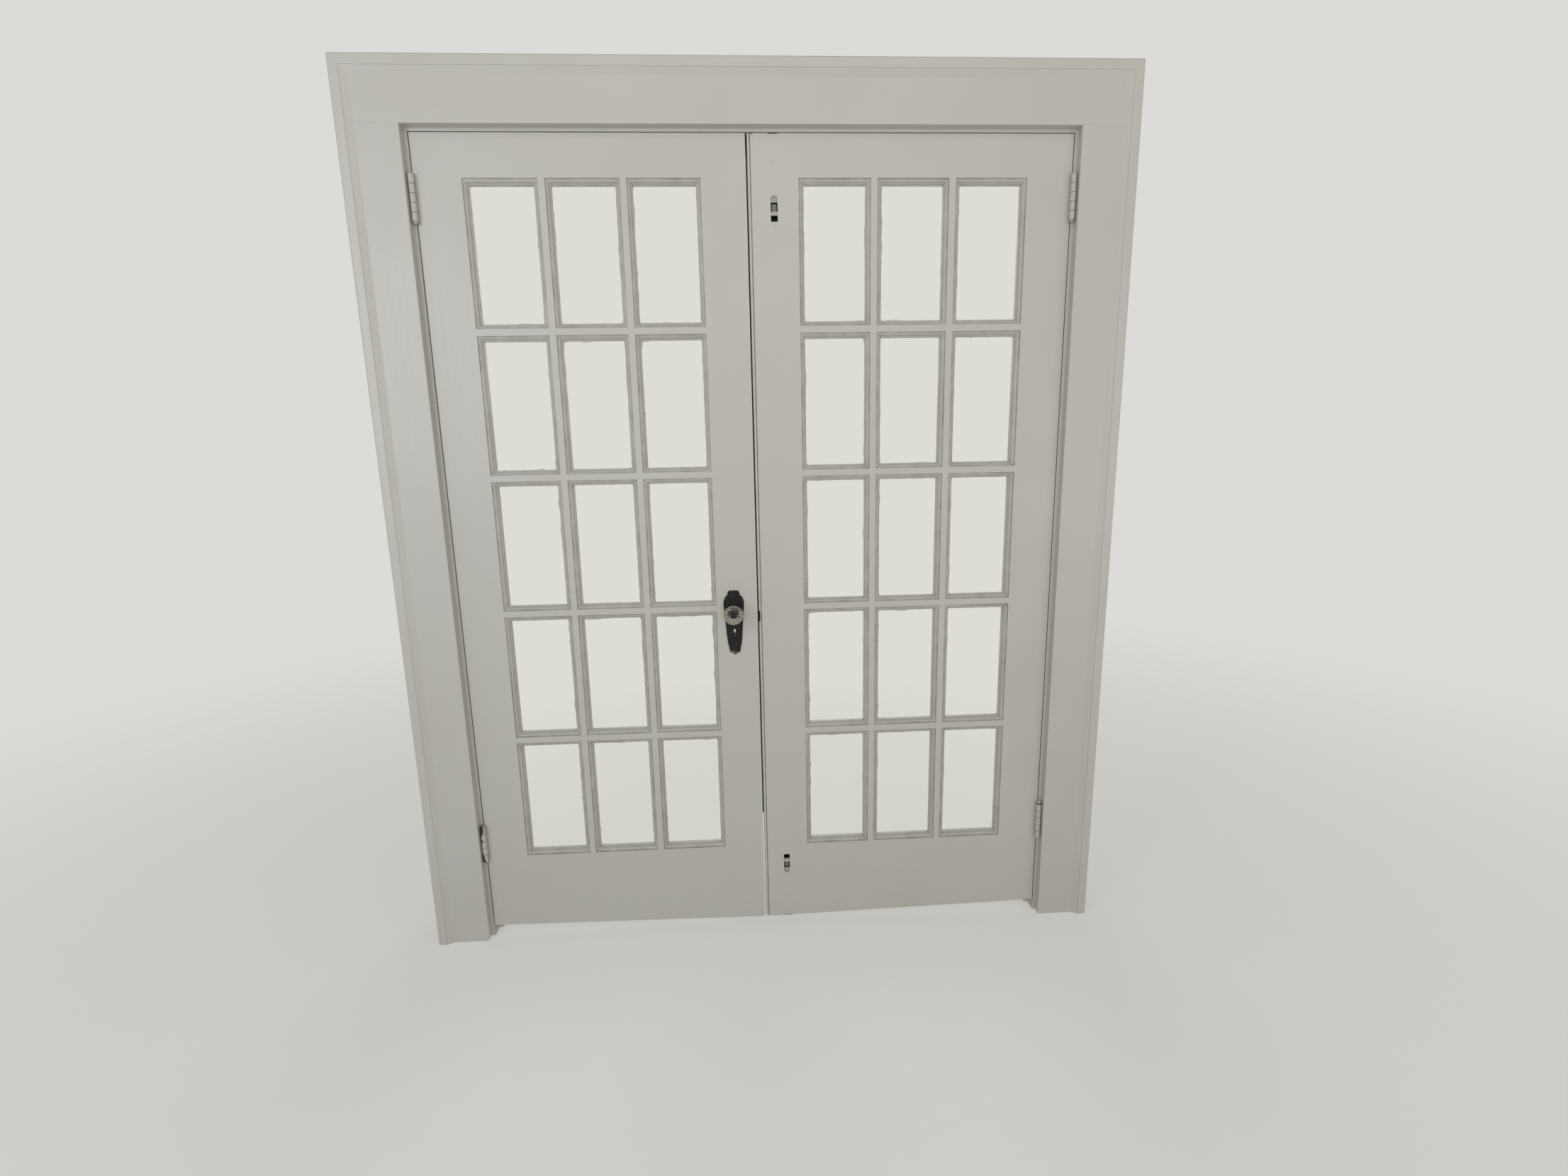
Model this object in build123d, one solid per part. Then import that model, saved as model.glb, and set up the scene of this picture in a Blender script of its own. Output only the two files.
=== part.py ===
"""A pair of french doors in their frame: two glazed leaves, casing, hinges, mortise lock and flush bolts.

Millimetres, +Z up. Seen from the front (-Y) the lock is on the left leaf, and +X is to the right.
Until a piece is saved, y = 0 is the front face of the leaves and of the jambs, and x = 0 the middle
of the doorway. The origin ends up on the floor under the middle of the whole object.
"""
import os
from math import cos, radians, sin

from build123d import *

# Leaves
leaf_t = 35.0
lite_w = 172.0              # one light, measured between the flat faces
lite_h = 330.6
lite_columns = 3
lite_rows = 5
bar_face = 16.0             # flat face of a glazing bar
hinge_stile_w = 108.8
lock_stile_w = 106.0
meeting_stile_w = 120.0
top_rail_h = 95.0
bottom_rail_h = 224.0
tenon_t = 12.0
tenon_l = 45.0
tenon_shoulder = 14.0

# Gaps round the leaves
hinge_gap = 2.4
meeting_gap = 3.9
head_gap = 2.0
floor_gap = 19.5            # at the meeting edge, where the leaves hang lowest
trim_rise = 13.0            # the bottoms are trimmed to rise this much towards the hinges
trim_corner = 5.0

# Moulded edge round each light: quirk, quarter round and fillet down to the glass
quirk_depth = 2.0
quirk_w = 1.5
ovolo_r = 7.0
fillet_w = 2.8
glass_depth = 12.5
glass_t = 3.0
rabbet_w = 9.0
pane_play = 1.0
bead_depth = 15.5
bead_lip = 3.0
bead_bevel = 7.0

# Edge bead on the right leaf
edge_bead_w = 7.2
edge_quirk_w = 1.6
chip_w = 7.0
chip_size = 3.0
chip_from_edge = 9.0

# Frame
jamb_t = 22.0
jamb_depth = 133.0
housing = 9.5
reveal = 7.4
casing_w = 112.0
casing_t = 22.0
band_w = 25.0
band_t = 30.0
band_outer_r = 6.0
band_inner_r = 3.0
stop_t = 12.0
stop_w = 36.0
stop_gap = 1.5
stop_bevel = 2.0
arris_r = 1.5
worn_corner_w = 6.0
worn_corner_h = 16.0

# Butt hinges
hinge_h = 101.6
plate_t = 2.5
plate_reach = 30.0
plate_play = 0.2
knuckle_count = 5
knuckle_r = 7.0
knuckle_play = 0.3
axis_out = 8.0              # hinge axis in front of the leaf's face
pin_r = 3.2
pin_fit = 0.05
button_r = 6.0
button_h = 4.0
button_flat_r = 2.0
raised_pin = 5.0            # the right leaf's lower pin has worked its way up
top_hinge_drop = 141.0      # from the head of the leaf to the middle of the hinge
bottom_hinge_z = 288.0

# Screws
screw_head_r = 4.4
screw_r = 2.2
screw_l = 18.0
short_screw_l = 8.0
screw_fit = 0.05
screw_slot_w = 1.0
screw_slot_depth = 1.1
hinge_screw_z = 35.0
hinge_screw_edge = 8.0
hinge_screw_stagger = 10.0

# Lock
knob_z = 920.0
backset = 61.0
case_deep = 83.0
case_above = 25.0
case_below = 85.0
case_t = 15.0
case_wall = 1.6
case_play = 0.25
face_plate_t = 3.0
face_plate_w = 19.0
face_plate_above = 45.0
face_plate_below = 105.0
bolt_play = 0.2
latch_drop = 14.5           # middle of the latch below the knob's axis
latch_h = 16.0
latch_t = 10.0
latch_nose = 22.0
latch_bevel = 7.0
latch_travel = 12.0
latch_back = 0.3            # a drawn bolt lies this far inside the edge
tail_t = 3.0
tail_top = 10.5
tail_bottom = 19.5
dead_drop = 58.0
dead_h = 28.0
dead_t = 9.0
dead_l = 50.0
talon_h = 3.0
talon_t = 3.0
talon_l = 22.0
knob_turn = 50.0
arm_tip_r = 3.0
arm_neck = 3.0
arm_play = 0.3
hub_r = 7.5
hub_boss_r = 6.0
hub_play = 0.2
spindle_w = 8.0
stile_bore_r = 10.0
spring_t = 0.8
spring_w = 8.0

# Knobs
knob_r = 26.2
knob_sides = 12
plate_gap = 0.3
collar_r = 10.0
collar_t = 3.0
neck_r = 7.0
neck_front_r = 6.0
ferrule_r = 11.0
shank_l = 24.0
glass_l = 31.0
spindle_inset = 3.0

# Escutcheons
escutcheon_t = 3.0
escutcheon_ease = 0.8
escutcheon_screw_top = 43.8
escutcheon_screw_low = 99.0
keyhole_drop = 51.0
keyhole_r = 3.6
keyhole_slot_w = 4.4
keyhole_low = 65.0

# Strike
strike_t = 2.5
strike_w = 24.0
strike_front = 5.0
strike_above = 14.0
strike_below = 84.0
strike_pocket = 15.0
strike_play = 1.0
lip_h = 27.0
lip_out = 1.0

# Flush bolts
flush_inset = 61.5          # from the meeting edge to the bolt's axis
flush_plate_w = 22.0
flush_plate_t = 2.0
flush_plate_l = 150.0
flush_plate_behind = 32.0
slot_w = 16.3
slot_behind = 18.0          # the slot, behind and ahead of the thumb bar
slot_ahead = 39.0
shallow_end = 14.0
shallow_floor = 1.5
flush_case_wall = 1.2
flush_case_depth = 20.0
thumb_h = 7.7
carrier_w = 11.0            # flat behind the slot that ties the thumb bar to the rod
carrier_l = 18.0
carrier_depth = 5.3
thumb_play = 0.3
rod_r = 4.2
rod_y = 14.0
rod_fit = 0.3
rod_stub_r = 2.4            # end of the rod that screws into the carrier
rod_stub_l = 10.0
rod_stub_fit = 0.1
top_bolt_drop = 172.6        # from the head of the leaf to the middle of the thumb bar
bottom_bolt_z = 194.0
flush_travel = 16.0
guide_w = 24.0
guide_depth = 25.0
guide_t = 2.0
keeper_l = 56.0
keeper_w = 19.0
keeper_t = 2.0
keeper_hole_r = 6.5
keeper_bore = 16.0
keeper_screw = 20.0

# Sizes that follow from the ones above
field_w = lite_columns * lite_w + (lite_columns - 1) * bar_face
field_h = lite_rows * lite_h + (lite_rows - 1) * bar_face
left_leaf_w = hinge_stile_w + field_w + lock_stile_w
right_leaf_w = hinge_stile_w + field_w + meeting_stile_w
leaf_h = top_rail_h + field_h + bottom_rail_h
leaf_top = floor_gap + leaf_h
opening_w = left_leaf_w + right_leaf_w + meeting_gap + 2 * hinge_gap
opening_h = leaf_top + head_gap
jamb_x = opening_w / 2
left_x0 = -jamb_x + hinge_gap
left_x1 = left_x0 + left_leaf_w
right_x0 = left_x1 + meeting_gap
right_x1 = right_x0 + right_leaf_w
field_top = leaf_top - top_rail_h
field_bottom = field_top - field_h
casing_x = jamb_x + reveal
outer_x = casing_x + casing_w + band_w
casing_z = opening_h + reveal
outer_z = casing_z + casing_w + band_w
moulding_w = quirk_w + ovolo_r + fillet_w
axis_x = jamb_x - hinge_gap / 2
top_hinge_z = leaf_top - top_hinge_drop
latch_z = knob_z - latch_drop
dead_z = knob_z - dead_drop
knob_x = left_x1 - backset
flush_x = right_x0 + flush_inset
top_bolt_z = leaf_top - top_bolt_drop
carrier_end = thumb_h / 2 + carrier_l
lock_y = leaf_t / 2
front_most = -(escutcheon_t + plate_gap + shank_l + glass_l)
rear_most = jamb_depth + band_t
y_shift = -(front_most + rear_most) / 2
past = 5.0                  # how far a cutting solid runs past the face it opens

os.makedirs("parts", exist_ok=True)


def save(name, *solids):
    """Write one node; several solids stay separate inside it."""
    placed = [Pos(0, y_shift, 0) * solid for solid in solids]
    shape = placed[0] if len(placed) == 1 else Compound(children=placed)
    export_step(shape, f"parts/{name}.step")


def block(x0, x1, y0, y1, z0, z1):
    """Box between two opposite corners, given in either order."""
    return Pos((x0 + x1) / 2, (y0 + y1) / 2, (z0 + z1) / 2) * Box(abs(x1 - x0), abs(y1 - y0), abs(z1 - z0))


def outline(*points):
    """Flat face inside a closed row of points."""
    return make_face(Polyline(*points, close=True))


def along_x(face, x0, x1):
    """Raise a (y, z) face from x0 to x1."""
    return Pos(x0, 0, 0) * extrude(Plane.YZ * face, x1 - x0)


def along_y(face, y0, y1):
    """Raise an (x, z) face from y0 to y1."""
    return Pos(0, y1, 0) * extrude(Plane.XZ * face, y1 - y0)


def along_z(face, z0, z1):
    """Raise an (x, y) face from z0 to z1."""
    return Pos(0, 0, z0) * extrude(face, z1 - z0)


def rod(radius, x, z, y0, y1):
    """Round bar along Y."""
    return Pos(x, (y0 + y1) / 2, z) * Rot(90, 0, 0) * Cylinder(radius, y1 - y0)


def upright_rod(radius, x, y, z0, z1):
    """Round bar along Z."""
    return Pos(x, y, (z0 + z1) / 2) * Cylinder(radius, z1 - z0)


def mirrored(shape):
    """The same shape on the other side of the doorway."""
    return mirror(shape, about=Plane.YZ)


# Screws: a countersunk screw points along +Z from its head
def screw_shape(length, play=0.0):
    """Outline of a screw turned solid; with play, the hole that it goes into."""
    head = screw_head_r + play
    body = screw_r + play
    cone = screw_head_r - screw_r
    side = outline((0, 0), (head, 0), (body, cone), (body, length - cone), (0, length + play))
    return revolve(Plane.XZ * side, Axis.Z)


def slotted(screw):
    """Cut the driver's slot across the head."""
    return screw - block(-screw_head_r, screw_head_r, -screw_slot_w / 2, screw_slot_w / 2, 0, screw_slot_depth)


plain_screw = slotted(screw_shape(screw_l))
screw_hole = screw_shape(screw_l, screw_fit)
short_screw = slotted(screw_shape(short_screw_l))
short_hole = screw_shape(short_screw_l, screw_fit)


def aim(x, y, z, direction):
    """Place for a screw whose head is at (x, y, z) and that runs in the given direction."""
    return Plane(origin=(x, y, z), z_dir=direction).location


# Lights: the opening that one light cuts through the leaf, with its moulded edge and glazing rabbet
def light_profile(half, reach):
    """Half outline of the opening over the leaf's thickness, as (distance from the middle, y)."""
    face = half
    fillet_x = face - quirk_w - ovolo_r
    glass_x = face - moulding_w
    rabbet_x = glass_x + rabbet_w
    bend = radians(45)
    arc_mid = (face - quirk_w - ovolo_r * cos(bend), quirk_depth + ovolo_r * (1 - sin(bend)))
    edge = Polyline((0, -reach), (face, -reach), (face, quirk_depth), (face - quirk_w, quirk_depth))
    edge += ThreePointArc((face - quirk_w, quirk_depth), arc_mid, (fillet_x, quirk_depth + ovolo_r))
    edge += Polyline((fillet_x, quirk_depth + ovolo_r), (glass_x, quirk_depth + ovolo_r),
                     (glass_x, glass_depth), (rabbet_x, glass_depth), (rabbet_x, leaf_t + reach),
                     (0, leaf_t + reach), (0, -reach))
    half_face = make_face(edge)
    return half_face + mirror(half_face, about=Plane.YZ)


def light_opening():
    across = along_z(light_profile(lite_w / 2, past), -lite_h, lite_h)
    upright = Rot(0, 90, 0) * along_z(light_profile(lite_h / 2, past), -lite_h, lite_h)
    return across & upright


opening = light_opening()


def light_centre(x_field, column, row):
    x = x_field + lite_w / 2 + column * (lite_w + bar_face)
    z = field_top - lite_h / 2 - row * (lite_h + bar_face)
    return x, z


def light_place(x_field, column, row):
    x, z = light_centre(x_field, column, row)
    return Pos(x, 0, z)


def mitred_tab(start, end, outwards):
    """Four corners of the moulded strip that a member carries along one light."""
    tip = moulding_w + past
    return [(start, 0), (start + tip, outwards * tip), (end - tip, outwards * tip), (end, 0)]


def member(x0, x1, z0, z1, right=(), left=(), above=(), below=()):
    """Stile, rail or bar: a flat face plus a mitred strip along each light beside it."""
    ring = [(x0, z0)]
    for start, end in below:
        ring += [(a, z0 + b) for a, b in mitred_tab(start, end, -1)]
    ring.append((x1, z0))
    for start, end in right:
        ring += [(x1 + b, a) for a, b in mitred_tab(start, end, 1)]
    ring.append((x1, z1))
    for start, end in reversed(above):
        ring += [(a, z1 + b) for a, b in reversed(mitred_tab(start, end, 1))]
    ring.append((x0, z1))
    for start, end in reversed(left):
        ring += [(x0 + b, a) for a, b in reversed(mitred_tab(start, end, -1))]
    corners = []
    for point in ring:
        if not corners or point != corners[-1]:
            corners.append(point)
    if corners[0] == corners[-1]:
        corners.pop()
    return along_y(outline(*corners), 0, leaf_t)


def row_spans():
    """Heights of the five lights, from the lowest up."""
    low = [field_bottom + row * (lite_h + bar_face) for row in range(lite_rows)]
    return [(z, z + lite_h) for z in low]


def column_spans(x_field):
    start = [x_field + column * (lite_w + bar_face) for column in range(lite_columns)]
    return [(x, x + lite_w) for x in start]


def cut_lights(shape, x_field, columns):
    for column in columns:
        for row in range(lite_rows):
            shape -= light_place(x_field, column, row) * opening
    return shape


def tenon(x_shoulder, side, z0, z1, grow=0.0):
    """Tenon of a rail, running from the shoulder into the stile on the given side."""
    half = tenon_t / 2
    return block(x_shoulder, x_shoulder + side * (tenon_l + grow), lock_y - half, lock_y + half, z0, z1)


def tenon_heights(rail):
    if rail == "top":
        return field_top + tenon_shoulder, leaf_top - 2 * tenon_shoulder
    return floor_gap + trim_rise + 2 * tenon_shoulder, field_bottom - tenon_shoulder


def bottom_trim(x_hinge, x_meeting):
    """What is sawn off the leaf's bottom: a long wedge and the meeting corner."""
    side = 1 if x_meeting > x_hinge else -1
    hinge_end = (x_hinge - side * past, floor_gap + trim_rise)
    meeting_end = (x_meeting + side * past, floor_gap + trim_corner)
    return along_y(outline(
        (hinge_end[0], -past), (meeting_end[0], -past), meeting_end, (x_meeting, floor_gap + trim_corner),
        (x_meeting - side * trim_corner, floor_gap), hinge_end), -past, leaf_t + past)


def stiles_and_rails(x0, x_field, x1, hinge_side):
    """The four outer members of a leaf, before hardware is let into them."""
    field_x1 = x_field + field_w
    rows = row_spans()
    columns = column_spans(x_field)
    trim = bottom_trim(x0, x1) if hinge_side < 0 else bottom_trim(x1, x0)
    left_stile = member(x0, x_field, 0, leaf_top, right=rows)
    right_stile = member(field_x1, x1, 0, leaf_top, left=rows)
    top_rail = member(x_field, field_x1, field_top, leaf_top, below=columns)
    bottom_rail = member(x_field, field_x1, 0, field_bottom, above=columns)
    left_stile = cut_lights(left_stile, x_field, [0])
    right_stile = cut_lights(right_stile, x_field, [lite_columns - 1])
    for column in range(lite_columns):
        top_rail -= light_place(x_field, column, 0) * opening
        bottom_rail -= light_place(x_field, column, lite_rows - 1) * opening
    for rail in ("top", "bottom"):
        z0, z1 = tenon_heights(rail)
        tongues = tenon(x_field, -1, z0, z1) + tenon(field_x1, 1, z0, z1)
        left_stile -= tenon(x_field, -1, z0, z1)
        right_stile -= tenon(field_x1, 1, z0, z1)
        if rail == "top":
            top_rail += tongues
        else:
            bottom_rail += tongues
    return left_stile - trim, right_stile - trim, top_rail, bottom_rail - trim


def upright_bars(x_field):
    rows = row_spans()
    first = member(x_field + lite_w, x_field + lite_w + bar_face, field_bottom, field_top, right=rows, left=rows)
    first = cut_lights(first, x_field, [0, 1])
    return [Pos(column * (lite_w + bar_face), 0, 0) * first for column in range(lite_columns - 1)]


def cross_bars(x_field):
    start, end = column_spans(x_field)[0]
    z0 = field_top - lite_h - bar_face
    first = member(start, end, z0, z0 + bar_face, above=[(start, end)], below=[(start, end)])
    first -= light_place(x_field, 0, 0) * opening
    first -= light_place(x_field, 0, 1) * opening
    return [Pos(column * (lite_w + bar_face), 0, -row * (lite_h + bar_face)) * first
            for row in range(lite_rows - 1) for column in range(lite_columns)]


def all_lights(x_field):
    return [light_place(x_field, column, row) for row in range(lite_rows) for column in range(lite_columns)]


def panes(x_field):
    inset = moulding_w - rabbet_w + pane_play
    pane = block(inset - lite_w / 2, lite_w / 2 - inset, glass_depth, glass_depth + glass_t,
                 inset - lite_h / 2, lite_h / 2 - inset)
    return [place * pane for place in all_lights(x_field)]


def glazing_beads(x_field):
    """Four mitred wooden beads behind each pane."""
    front = glass_depth + glass_t
    inset = moulding_w - rabbet_w

    def strip_profile(half):
        return outline((half - inset, front), (half - moulding_w, front),
                       (half - moulding_w, front + bead_depth - bead_bevel),
                       (half - inset - bead_lip, front + bead_depth), (half - inset, front + bead_depth))

    def tab(half, other):
        tip = moulding_w - inset
        return [(half - inset, inset - other), (half - inset, other - inset),
                (half - inset - tip, other - inset - tip), (half - inset - tip, inset - other + tip)]

    half_w, half_h = lite_w / 2, lite_h / 2
    side = along_z(strip_profile(half_w), -half_h, half_h)
    side &= along_y(outline(*tab(half_w, half_h)), 0, leaf_t)
    top = Rot(0, -90, 0) * along_z(strip_profile(half_h), -half_h, half_h)
    top &= along_y(outline(*[(b, a) for a, b in tab(half_h, half_w)]), 0, leaf_t)
    four = [side, mirrored(side), top, mirror(top, about=Plane.XY)]
    return [place * strip for place in all_lights(x_field) for strip in four]


# Hinges, drawn for the left side of the doorway
def knuckle_spans(z_centre):
    pitch = hinge_h / knuckle_count
    low = z_centre - hinge_h / 2
    return [(low + k * pitch, low + (k + 1) * pitch) for k in range(knuckle_count)]


def button(z_flat, up):
    """Rounded tip of the barrel, standing on z_flat."""
    edge = Line((0, 0), (button_r, 0)) + ThreePointArc(
        (button_r, 0), (button_r * 0.8, button_h * 0.75), (button_flat_r, button_h))
    edge += Polyline((button_flat_r, button_h), (0, button_h), (0, 0))
    dome = revolve(Plane.XZ * make_face(edge), Axis.Z)
    return Pos(-axis_x, -axis_out, z_flat) * (dome if up else Rot(180, 0, 0) * dome)


def hinge_half(z_centre, jamb_side):
    """Plate with its knuckles: three on the jamb's half, two on the leaf's."""
    x_face = -jamb_x if jamb_side else left_x0
    x_deep = x_face - plate_t if jamb_side else x_face + plate_t
    spans = knuckle_spans(z_centre)
    clear_y = -axis_out + knuckle_r + knuckle_play
    low, high = spans[0][0], spans[-1][1]
    half = block(x_face, x_deep, clear_y, plate_reach, low, high)
    for index, (z0, z1) in enumerate(spans):
        own = (index % 2 == 0) == jamb_side
        if own:
            z0 += 0 if index == 0 else knuckle_play / 2
            z1 -= 0 if index == knuckle_count - 1 else knuckle_play / 2
            half += upright_rod(knuckle_r, -axis_x, -axis_out, z0, z1)
            half += block(x_face, x_deep, -axis_out, clear_y, z0, z1)
    half -= upright_rod(pin_r + pin_fit, -axis_x, -axis_out, low - past, high + past)
    if jamb_side:
        half += button(low, up=False)
    for place in hinge_screw_places(z_centre, jamb_side):
        half -= place * screw_hole
    return half


def hinge_screw_places(z_centre, jamb_side):
    x_face = -jamb_x if jamb_side else left_x0
    direction = (-1, 0, 0) if jamb_side else (1, 0, 0)
    edge_y = plate_reach - hinge_screw_edge
    rows = [(-hinge_screw_z, edge_y), (0, edge_y - hinge_screw_stagger), (hinge_screw_z, edge_y)]
    return [aim(x_face, y, z_centre + z, direction) for z, y in rows]


def hinge_pin(z_centre, lift=0.0):
    low = z_centre - hinge_h / 2 + plate_t
    high = z_centre + hinge_h / 2
    shaft = upright_rod(pin_r, -axis_x, -axis_out, low + lift, high + lift)
    return shaft + button(high + lift, up=True)


def gain(z_centre, jamb_side):
    """Recess for a hinge plate."""
    x_face = -jamb_x if jamb_side else left_x0
    x_deep = x_face - plate_t if jamb_side else x_face + plate_t
    outside = x_face + past if jamb_side else x_face - past
    half = hinge_h / 2 + plate_play
    return block(outside, x_deep, -past, plate_reach + plate_play, z_centre - half, z_centre + half)


hinge_heights = [bottom_hinge_z, top_hinge_z]


def let_in_hinges(wood, jamb_side):
    for z_centre in hinge_heights:
        wood -= gain(z_centre, jamb_side)
        for place in hinge_screw_places(z_centre, jamb_side):
            wood -= place * screw_hole
    return wood


def hinge_halves(jamb_side):
    return [hinge_half(z_centre, jamb_side) for z_centre in hinge_heights]


def hinge_screws(jamb_side):
    return [place * plain_screw for z_centre in hinge_heights
            for place in hinge_screw_places(z_centre, jamb_side)]


# Frame
def side_jamb():
    """Left jamb, with an eased front arris and the housing for the head, whose top it is flush with."""
    top = opening_h + jamb_t
    bend = arris_r * (1 - cos(radians(45)))
    edge = Polyline((-jamb_x - jamb_t, 0), (-jamb_x - arris_r, 0))
    edge += ThreePointArc((-jamb_x - arris_r, 0), (-jamb_x - bend, bend), (-jamb_x, arris_r))
    edge += Polyline((-jamb_x, arris_r), (-jamb_x, jamb_depth), (-jamb_x - jamb_t, jamb_depth),
                     (-jamb_x - jamb_t, 0))
    jamb = along_z(make_face(edge), 0, top)
    return jamb - block(-jamb_x - housing, -jamb_x + past, -past, jamb_depth + past, opening_h, opening_h + jamb_t)


def head_jamb():
    end = jamb_x + housing
    board = block(-end, end, 0, jamb_depth, opening_h, opening_h + jamb_t)
    board -= upright_rod(keeper_hole_r, flush_x, rod_y, opening_h, opening_h + keeper_bore)
    board -= block(flush_x - keeper_l / 2, flush_x + keeper_l / 2, keeper_y0, keeper_y1,
                   opening_h - past, opening_h + keeper_t)
    for place in keeper_screw_places():
        board -= place * screw_hole
    return board


keeper_y0 = rod_y - keeper_w / 2
keeper_y1 = rod_y + keeper_w / 2


def keeper_screw_places():
    return [aim(flush_x + side * keeper_screw, rod_y, opening_h, (0, 0, 1)) for side in (-1, 1)]


def bolt_keeper():
    plate = block(flush_x - keeper_l / 2, flush_x + keeper_l / 2, keeper_y0, keeper_y1, opening_h, opening_h + keeper_t)
    plate -= upright_rod(keeper_hole_r, flush_x, rod_y, opening_h - past, opening_h + past)
    for place in keeper_screw_places():
        plate -= place * screw_hole
    return plate


def stop_section(inner):
    """(u, y) outline of a stop whose back lies on u = 0 and whose face is at u = inner."""
    y0 = leaf_t + stop_gap
    y1 = y0 + stop_w
    ease = stop_bevel if inner > 0 else -stop_bevel
    return [(0, y0), (inner - ease, y0), (inner, y0 + stop_bevel), (inner, y1 - stop_bevel), (inner - ease, y1), (0, y1)]


def side_stop():
    face = outline(*[(-jamb_x + u, y) for u, y in stop_section(stop_t)])
    return along_z(face, 0, opening_h - stop_t)


def head_stop():
    face = outline(*[(y, opening_h + u) for u, y in stop_section(-stop_t)])
    return along_x(face, -jamb_x, jamb_x)


def side_casing(front):
    """Left casing board; the front one has a worn inner corner at the floor."""
    bend = arris_r * (1 - cos(radians(45)))
    inner = -casing_x
    edge = Polyline((inner - casing_w, 0), (inner - casing_w, -casing_t), (inner - arris_r, -casing_t))
    edge += ThreePointArc((inner - arris_r, -casing_t), (inner - bend, bend - casing_t), (inner, arris_r - casing_t))
    edge += Polyline((inner, arris_r - casing_t), (inner, 0), (inner - casing_w, 0))
    board = along_z(make_face(edge), 0, casing_z)
    if front:
        board -= along_y(outline((inner - worn_corner_w, -past), (inner + past, -past), (inner + past, worn_corner_h),
                                 (inner, worn_corner_h)), -casing_t - past, past)
    return board


def head_casing():
    bend = arris_r * (1 - cos(radians(45)))
    edge = Polyline((0, casing_z), (0, casing_z + casing_w), (-casing_t, casing_z + casing_w),
                    (-casing_t, casing_z + arris_r))
    edge += ThreePointArc((-casing_t, casing_z + arris_r), (bend - casing_t, casing_z + bend),
                          (arris_r - casing_t, casing_z))
    edge += Line((arris_r - casing_t, casing_z), (0, casing_z))
    return along_x(make_face(edge), -outer_x + band_w, outer_x - band_w)


def band_section(edge_at, side):
    """Back band outline: (u, y), outer edge at u = edge_at, lying on the wall at y = 0."""
    inner = edge_at - side * band_w
    turn = 1 - cos(radians(45))
    round_out = ThreePointArc((edge_at, band_outer_r - band_t),
                              (edge_at - side * band_outer_r * turn, band_outer_r * turn - band_t),
                              (edge_at - side * band_outer_r, -band_t))
    round_in = ThreePointArc((inner + side * band_inner_r, -band_t),
                             (inner + side * band_inner_r * turn, band_inner_r * turn - band_t),
                             (inner, band_inner_r - band_t))
    return (Line((edge_at, 0), (edge_at, band_outer_r - band_t)) + round_out
            + Line((edge_at - side * band_outer_r, -band_t), (inner + side * band_inner_r, -band_t)) + round_in
            + Polyline((inner, band_inner_r - band_t), (inner, 0), (edge_at, 0)))


def side_band():
    """Left back band, mitred at the head."""
    bar = along_z(make_face(band_section(-outer_x, -1)), 0, outer_z)
    mitre = outline((-outer_x, 0), (band_w - outer_x, 0), (band_w - outer_x, outer_z - band_w), (-outer_x, outer_z))
    return bar & along_y(mitre, -band_t, 0)


def head_band():
    """Head back band; its section is turned so that its outer edge looks up."""
    section = Rot(0, 0, -90) * make_face(band_section(-outer_z, -1))
    bar = along_x(section, -outer_x, outer_x)
    mitre = outline((-outer_x, outer_z), (band_w - outer_x, outer_z - band_w), (outer_x - band_w, outer_z - band_w),
                    (outer_x, outer_z))
    return bar & along_y(mitre, -band_t, 0)


def to_rear(shape):
    """Carry a front trim board to the rear face of the frame."""
    return Pos(0, jamb_depth, 0) * mirror(shape, about=Plane.XZ)


# Lock
case_x1 = left_x1 - face_plate_t
case_x0 = case_x1 - case_deep
case_z0 = knob_z - case_below
case_z1 = knob_z + case_above
case_y0 = lock_y - case_t / 2
case_y1 = lock_y + case_t / 2
tip_x = left_x1 - latch_back


def latch_window(grow):
    return block(case_x0 + case_deep / 2, left_x1 + past, lock_y - latch_t / 2 - grow, lock_y + latch_t / 2 + grow,
                 latch_z - latch_h / 2 - grow, latch_z + latch_h / 2 + grow)


def dead_window(grow):
    return block(case_x0 + case_deep / 2, left_x1 + past, lock_y - dead_t / 2 - grow, lock_y + dead_t / 2 + grow,
                 dead_z - dead_h / 2 - grow, dead_z + dead_h / 2 + grow)


def keyhole(y0, y1, grow=0.0):
    """Round top and straight slot, as a cutter."""
    round_z = knob_z - keyhole_drop
    half = keyhole_slot_w / 2 + grow
    slot = block(knob_x - half, knob_x + half, y0, y1, knob_z - keyhole_low - grow, round_z)
    return rod(keyhole_r + grow, knob_x, round_z, y0, y1) + slot


def lock_case():
    """Case open towards the rear, where the cover closes it."""
    shell = block(case_x0, case_x1, case_y0, case_y1 - case_wall, case_z0, case_z1)
    shell -= block(case_x0 + case_wall, case_x1 - case_wall, case_y0 + case_wall, case_y1, case_z0 + case_wall,
                   case_z1 - case_wall)
    shell -= rod(hub_boss_r + hub_play, knob_x, knob_z, case_y0 - past, case_y1)
    return shell - latch_window(bolt_play) - dead_window(bolt_play) - keyhole(case_y0 - past, case_y1)


def lock_cover():
    plate = block(case_x0, case_x1, case_y1 - case_wall, case_y1, case_z0, case_z1)
    plate -= rod(hub_boss_r + hub_play, knob_x, knob_z, case_y0, case_y1 + past)
    return plate - keyhole(case_y0, case_y1 + past)


def face_plate_screw_places():
    heights = (knob_z + face_plate_above - hinge_screw_edge, knob_z - face_plate_below + hinge_screw_edge)
    return [aim(left_x1, lock_y, z, (-1, 0, 0)) for z in heights]


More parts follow.
